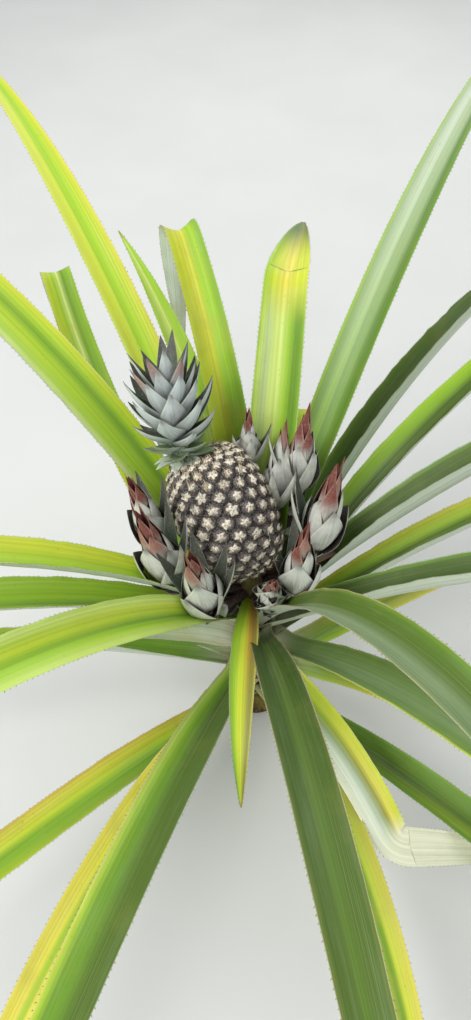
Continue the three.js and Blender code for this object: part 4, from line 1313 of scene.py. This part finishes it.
def fruit_points(turn, slope, out):
    """Points of the fruit's skin before it leans. Turn and slope in radians, out in mm."""
    radius = fruit_radius(slope) + out * np.cos(slope)
    return np.stack([radius * np.cos(turn), radius * np.sin(turn),
                     FRUIT_LENGTH / 2 * (1 + np.sin(slope)) + out * np.sin(slope)], axis=-1)


def lean_fruit(points):
    """Points in millimetres, leant and set on the stalk."""
    return points @ np.array(tilt_of(FRUIT_AXIS).to_matrix()).T + np.array(FRUIT_FOOT)


def eye_places():
    k = np.arange(EYES)
    return (np.radians(-GOLDEN_TURN * k),
            np.radians(-FRUIT_END_SLOPE + 2 * FRUIT_END_SLOPE * (k + 0.5) / EYES))


POINTS_AT_ONCE = 6000


def nearest_eyes(points, eyes):
    """How far the nearest eye and the second nearest are from each point, and which is nearest."""
    near, second, which = [], [], []
    for first in range(0, len(points), POINTS_AT_ONCE):
        gap = np.linalg.norm(points[first:first + POINTS_AT_ONCE, None, :] - eyes[None], axis=2)
        order = np.argpartition(gap, 1, axis=1)[:, :2]
        two = np.take_along_axis(gap, order, axis=1)
        near.append(two.min(1))
        second.append(two.max(1))
        which.append(np.take_along_axis(order, two.argmin(1)[:, None], axis=1)[:, 0])
    return np.concatenate(near), np.concatenate(second), np.concatenate(which)


SKIN_SIDES, SKIN_RINGS = 330, 200
GROOVE_WIDTH = 3.6
SMOOTH_ENDS = (84, 89)
LIP_HEIGHT, LIP_DROP, LIP_WIDTH = 0.9, 4.2, 2.0
CUSHION_FROM_GROOVE = (2.2, 8.0)
LIP_FROM_GROOVE = (2, 6)
SKIN_END_SLOPE = 89.9
HALO_RADIUS, HALO_STRENGTH = 5.5, 0.42
HALO_MOTTLE = (97, 61)
EYE_SHADES = (0.7, 1.15)


def build_fruit():
    """A skin that swells between grooves, which run where two eyes are equally near. Lengths in mm."""
    relief = sizes().eye_relief / MM
    slope = np.radians(np.linspace(-SKIN_END_SLOPE, SKIN_END_SLOPE, SKIN_RINGS))
    turns, slopes = (grid.ravel() for grid in np.meshgrid(angles_round(SKIN_SIDES), slope))
    eye_turn, eye_slope = eye_places()
    near, second, which = nearest_eyes(fruit_points(turns, slopes, 0), fruit_points(eye_turn, eye_slope, 0))
    ridge = second - near
    swell = (1 - np.exp(-ridge / GROOVE_WIDTH)) * (1 - ease(np.abs(np.degrees(slopes)), *SMOOTH_ENDS))
    lower = (eye_slope[which] - slopes) * FRUIT_LENGTH / 2
    lip = LIP_HEIGHT * hump(lower - LIP_DROP, LIP_WIDTH) * ease(ridge, *LIP_FROM_GROOVE)
    points = lean_fruit(fruit_points(turns, slopes, relief * (swell - 0.5) + lip))
    foot, top = lean_fruit(np.array([[0, 0, 0], [0, 0, FRUIT_LENGTH]], float))
    mesh = tube("fruit_skin", points.reshape(SKIN_RINGS, SKIN_SIDES, 3), foot, top, finish("fruit"))
    # Painted shade: near-black in the grooves, going over to the cushion's colour away from them; the two
    # end points get the same shade.
    tone = blend("fruit_groove", "fruit_cushion", ease(ridge, *CUSHION_FROM_GROOVE))
    mottle = 0.5 + 0.5 * np.sin(turns * HALO_MOTTLE[0]) * np.sin(slopes * HALO_MOTTLE[1])
    tone = blend(tone, "fruit_star", HALO_STRENGTH * hump(near, HALO_RADIUS) * mottle)
    shade = np.random.default_rng(SHADE_SEED).uniform(*EYE_SHADES, EYES)[which]
    tone = np.vstack([tone * shade[:, None], ink("fruit_groove"), ink("fruit_groove")])
    paint(mesh, tone[point_of_corner(mesh)])
    add_piece("fruit_skin", mesh, "fruit", "fruit", sharp=80)


# How far off the next points lie that give the way out, in mm, and the way up, in radians
STEP_OUT, STEP_UP = 1.0, 0.02


def eye_frames(turn, slope, out):
    """Points over the eyes, in metres, with the way out and the way up the fruit at each."""
    here = lean_fruit(fruit_points(turn, slope, out))
    over = lean_fruit(fruit_points(turn, slope, out + STEP_OUT)) - here
    ahead = lean_fruit(fruit_points(turn, slope + STEP_UP, out)) - here
    return here * MM, unit_rows(over), unit_rows(ahead)


def unit_rows(vectors):
    return vectors / np.linalg.norm(vectors, axis=1)[:, None]


STAR_FRAY = 0.35
STAR_BROWNING = (0.45, 1.2)


def fray_stars(mesh, middles, shade, rng):
    """Uneven arms, cream in the middle of a star and browner out along them."""
    points = points_of(mesh)
    points += rng.normal(0, STAR_FRAY, points.shape) * MM
    mesh.vertices.foreach_set("co", points.ravel())
    gap = np.linalg.norm(points[:, None, :] - middles[None], axis=2)
    tone = blend("fruit_star", "fruit_bract", ease(gap.min(axis=1) / sizes().star_radius, *STAR_BROWNING))
    paint(mesh, (tone * shade[gap.argmin(axis=1)][:, None])[point_of_corner(mesh)])


# The bracts of an eye: how far to its side and under it each stands, in mm, and its size
BRACTS = ((0, 5.0, 1.0), (4.2, 3.2, 0.7), (-4.2, 3.2, 0.7), (1.5, 6.2, 0.8), (-2.2, 5.6, 0.9),
          (3.0, 0.6, 0.5), (-3.0, 0.6, 0.5))
STAR_SINK = 0.2
STAR_SHADES = (0.8, 1.1)
# The size of an eye at the fruit's ends, against one round its middle
END_EYE_SIZE = 0.72
BRACT_LEVEL = 0.18
BRACT_JITTER, BRACT_TILTS, BRACT_LENGTHS = 0.01, (0.15, 0.75), (0.8, 1.2)
# The bracts near the top are longer by this share, which comes on between two slopes
TOP_BRACTS, TOP_SLOPES = 0.45, (0.3, 1.1)
STEEPEST_SLOPE = 1.5


def build_eyes():
    turn, slope = eye_places()
    size = between((END_EYE_SIZE, 1), np.cos(slope))
    relief = sizes().eye_relief / MM
    here, out, up = eye_frames(turn, slope, relief / 2 - STAR_SINK)
    source = points_mesh("eyes", here, out=out, up=up, size=size)
    stars = star_tree().grow(finish("fruit_stars"), source, Star_radius=sizes().star_radius)
    rng = np.random.default_rng(EYE_SEED)
    fray_stars(stars, here, rng.uniform(*STAR_SHADES, EYES), rng)
    add_piece("fruit_stars", stars, "fruit", sharp=30)

    radius, size = fruit_radius(slope), size * (1 + TOP_BRACTS * ease(slope, *TOP_SLOPES))
    feet, ways, ups, scales = [], [], [], []
    for spread, drop, bract_size in BRACTS:
        place = turn + spread / radius + rng.uniform(-BRACT_JITTER, BRACT_JITTER, EYES)
        level = np.clip(slope - drop / (FRUIT_LENGTH / 2), -STEEPEST_SLOPE, STEEPEST_SLOPE)
        here, out, up = eye_frames(place, level, relief * BRACT_LEVEL)
        tilt = rng.uniform(*BRACT_TILTS, EYES)[:, None]
        feet.append(here)
        ways.append(unit_rows(out * (1 - tilt * 0.5) + up * tilt))
        ups.append(up)
        scales.append(size * bract_size * rng.uniform(*BRACT_LENGTHS, EYES))
    source = points_mesh("bract_feet", np.vstack(feet), out=np.vstack(ways), up=np.vstack(ups),
                         size=np.concatenate(scales))
    bracts = bract_tree().grow(finish("fruit_bracts"), source, Bract_length=sizes().bract_length)
    add_piece("fruit_bracts", bracts, "fruit", sharp=30)


BARK_PHASE, SKIN_PHASE = np.random.default_rng(STEM_SEED).uniform(0, math.tau, 2)
BARK_SIDES, BARK_RINGS = 72, 150
SCAR_SPACING = 17
SCAR_WIDTH = 0.12
SCAR_SLANT, SCAR_TWIST = 5, 40
BARK_RIBS, RIB_HEIGHT, RIB_TWIST = 9, 0.5, 9
PLAIN_ENDS = 8
STALK_SIDES, STALK_STEPS = 40, 26
STALK_GAP = 1.5
STALK_RIBS, STALK_RIB_HEIGHT = 7, 0.02
STALK_WAVES, STALK_WAVE_HEIGHT = 22, 0.4


def build_stem():
    """The stem, with the rings that old leaves left on it."""
    depth, angles, rings = sizes().scar_depth / MM, angles_round(BARK_SIDES), []
    for z in np.linspace(0, STEM_TOP, BARK_RINGS).tolist():
        place = (z + SCAR_SLANT * np.sin(angles + z / SCAR_TWIST)) % SCAR_SPACING / SCAR_SPACING
        ribs = RIB_HEIGHT * np.sin(BARK_RIBS * angles + BARK_PHASE + z / RIB_TWIST)
        scar = ribs - depth * hump(place - 0.5, SCAR_WIDTH)
        scar *= min(1, z / PLAIN_ENDS) * min(1, (STEM_TOP - z) / PLAIN_ENDS)
        rings.append(ring_of(axis_point(z), EAST, NORTH, axis_radius(z) + scar, angles))
    mesh = tube("stem_bark", rings, axis_point(0), axis_point(STEM_TOP), finish("stem"))
    add_piece("stem_bark", mesh, "stem", "stem", sharp=60)


def build_stalk():
    """The fruit's stalk, which turns from upright to the fruit's lean."""
    angles, rings = angles_round(STALK_SIDES), []
    bottom, end = axis_point(STEM_TOP), FRUIT_FOOT - FRUIT_AXIS * STALK_GAP
    for i in range(STALK_STEPS + 1):
        share = i / STALK_STEPS
        turn = Quaternion().slerp(tilt_of(FRUIT_AXIS), share)
        ribs = STALK_RIB_HEIGHT * np.sin(STALK_RIBS * angles + SKIN_PHASE)
        waves = STALK_WAVE_HEIGHT * np.sin(share * STALK_WAVES + angles)
        radii = STALK_RADIUS * (1 + ribs) - waves
        rings.append(ring_of(bottom.lerp(end, share), turn @ EAST, turn @ NORTH, radii, angles))
    mesh = tube("stalk_skin", rings, bottom, end, finish("fruit_stalk"))
    add_piece("stalk_skin", mesh, "fruit_stalk", "fruit_stalk", sharp=60)


FLOOR_REACH = 7.0
FLOOR_LEVEL = -0.002
FLOOR_CELLS = 24
SKY_COLOUR, SKY_STRENGTH = (0.92, 0.96, 1.0, 1), 0.62
# name: place, the point it shines at, size and power
LIGHTS = {
    "key": ((-1.7, -1.0, 2.7), (0, 0, 0.3), 1.6, 74),
    "fill": ((2.2, -1.6, 1.8), (0, 0, 0.3), 2.2, 22),
    "back": ((0.4, 2.4, 2.2), (0, 0, 0.4), 2.0, 30),
}
CAMERA_PLACE = (-0.03, -0.516, 1.104)
CAMERA_TILT = 38
CAMERA_LENS, CAMERA_SENSOR = 27, 36


def build_stage():
    """Plain floor, soft light and the camera where the photograph was taken."""
    scene, row = bpy.context.scene, FLOOR_CELLS + 1
    line = np.linspace(-FLOOR_REACH, FLOOR_REACH, row).tolist()
    starts = [r * row + c for r in range(FLOOR_CELLS) for c in range(FLOOR_CELLS)]
    mesh = bpy.data.meshes.new("floor")
    mesh.from_pydata([(x, y, FLOOR_LEVEL) for y in line for x in line], [],
                     [(s, s + 1, s + row + 1, s + row) for s in starts])
    mesh.materials.append(finish("floor"))
    floor = add_to_scene("floor", mesh)

    world = bpy.data.worlds.new("soft_sky")
    world.use_nodes = True
    sky = world.node_tree.nodes["Background"].inputs
    sky[0].default_value, sky[1].default_value = SKY_COLOUR, SKY_STRENGTH
    scene.world = world
    for name, (place, aim, size, power) in LIGHTS.items():
        light = bpy.data.lights.new(name, "AREA")
        light.size, light.energy = size, power
        lamp = add_to_scene(name, light)
        lamp.location = place
        lamp.rotation_euler = (Vector(aim) - Vector(place)).to_track_quat("-Z", "Y").to_euler()

    lens = bpy.data.cameras.new("camera")
    lens.lens, lens.sensor_width, lens.sensor_fit = CAMERA_LENS, CAMERA_SENSOR, "AUTO"
    camera = add_to_scene("camera", lens)
    camera.location = CAMERA_PLACE
    camera.rotation_euler = (math.radians(CAMERA_TILT), 0, 0)
    scene.camera = camera
    scene.view_settings.view_transform = "Standard"


# Add-on

class PlantStem(bpy.types.Operator):
    """Build the stem and the fruit's stalk"""
    bl_idname, bl_label = "plant.stem", "Stem and stalk"

    def execute(self, context):
        build_stem()
        build_stalk()
        return {"FINISHED"}


class PlantFruit(bpy.types.Operator):
    """Build the fruit's skin with its eyes"""
    bl_idname, bl_label = "plant.fruit", "Fruit"

    def execute(self, context):
        build_fruit()
        return {"FINISHED"}


class PlantEyes(bpy.types.Operator):
    """Set a star and dry bracts on each eye"""
    bl_idname, bl_label = "plant.eyes", "Stars and bracts"

    def execute(self, context):
        build_eyes()
        return {"FINISHED"}


class PlantCrown(bpy.types.Operator):
    """Build the crown's leaves"""
    bl_idname, bl_label = "plant.crown", "Crown"

    def execute(self, context):
        build_crown()
        return {"FINISHED"}


class PlantSlips(bpy.types.Operator):
    """Build the slips round the fruit"""
    bl_idname, bl_label = "plant.slips", "Slips"

    def execute(self, context):
        build_slips()
        return {"FINISHED"}


class PlantLeaves(bpy.types.Operator):
    """Build the long leaves, with what hangs beyond a fold"""
    bl_idname, bl_label = "plant.leaves", "Leaves"

    def execute(self, context):
        build_leaves()
        return {"FINISHED"}


class PlantSpines(bpy.types.Operator):
    """Set spines along the leaves' margins"""
    bl_idname, bl_label = "plant.spines", "Spines"

    def execute(self, context):
        build_spines()
        return {"FINISHED"}


class PlantStage(bpy.types.Operator):
    """Lay the floor and set the lights and the camera"""
    bl_idname, bl_label = "plant.stage", "Stage"

    def execute(self, context):
        build_stage()
        return {"FINISHED"}


OPERATORS = (PlantStem, PlantFruit, PlantEyes, PlantCrown, PlantSlips, PlantLeaves, PlantSpines, PlantStage)


class PlantPanel(bpy.types.Panel):
    """The plant's pieces, sizes and colours"""
    bl_idname, bl_label = "VIEW3D_PT_plant", "Pineapple plant"
    bl_space_type, bl_region_type, bl_category = "VIEW_3D", "UI", "Plant"

    def draw(self, context):
        for operator in OPERATORS:
            self.layout.operator(operator.bl_idname)
        for group in (context.scene.plant_sizes, context.scene.plant_colours):
            for key in group.__annotations__:
                self.layout.prop(group, key)


CLASSES = (PlantSizes, PlantColours, *OPERATORS, PlantPanel)


def register():
    for item in CLASSES:
        bpy.utils.register_class(item)
    bpy.types.Scene.plant_sizes = bpy.props.PointerProperty(type=PlantSizes)
    bpy.types.Scene.plant_colours = bpy.props.PointerProperty(type=PlantColours)


def unregister():
    del bpy.types.Scene.plant_colours
    del bpy.types.Scene.plant_sizes
    for item in reversed(CLASSES):
        bpy.utils.unregister_class(item)


def main():
    register()
    for operator in OPERATORS:
        group, name = operator.bl_idname.split(".")
        getattr(getattr(bpy.ops, group), name)()


if __name__ == "__main__":
    main()
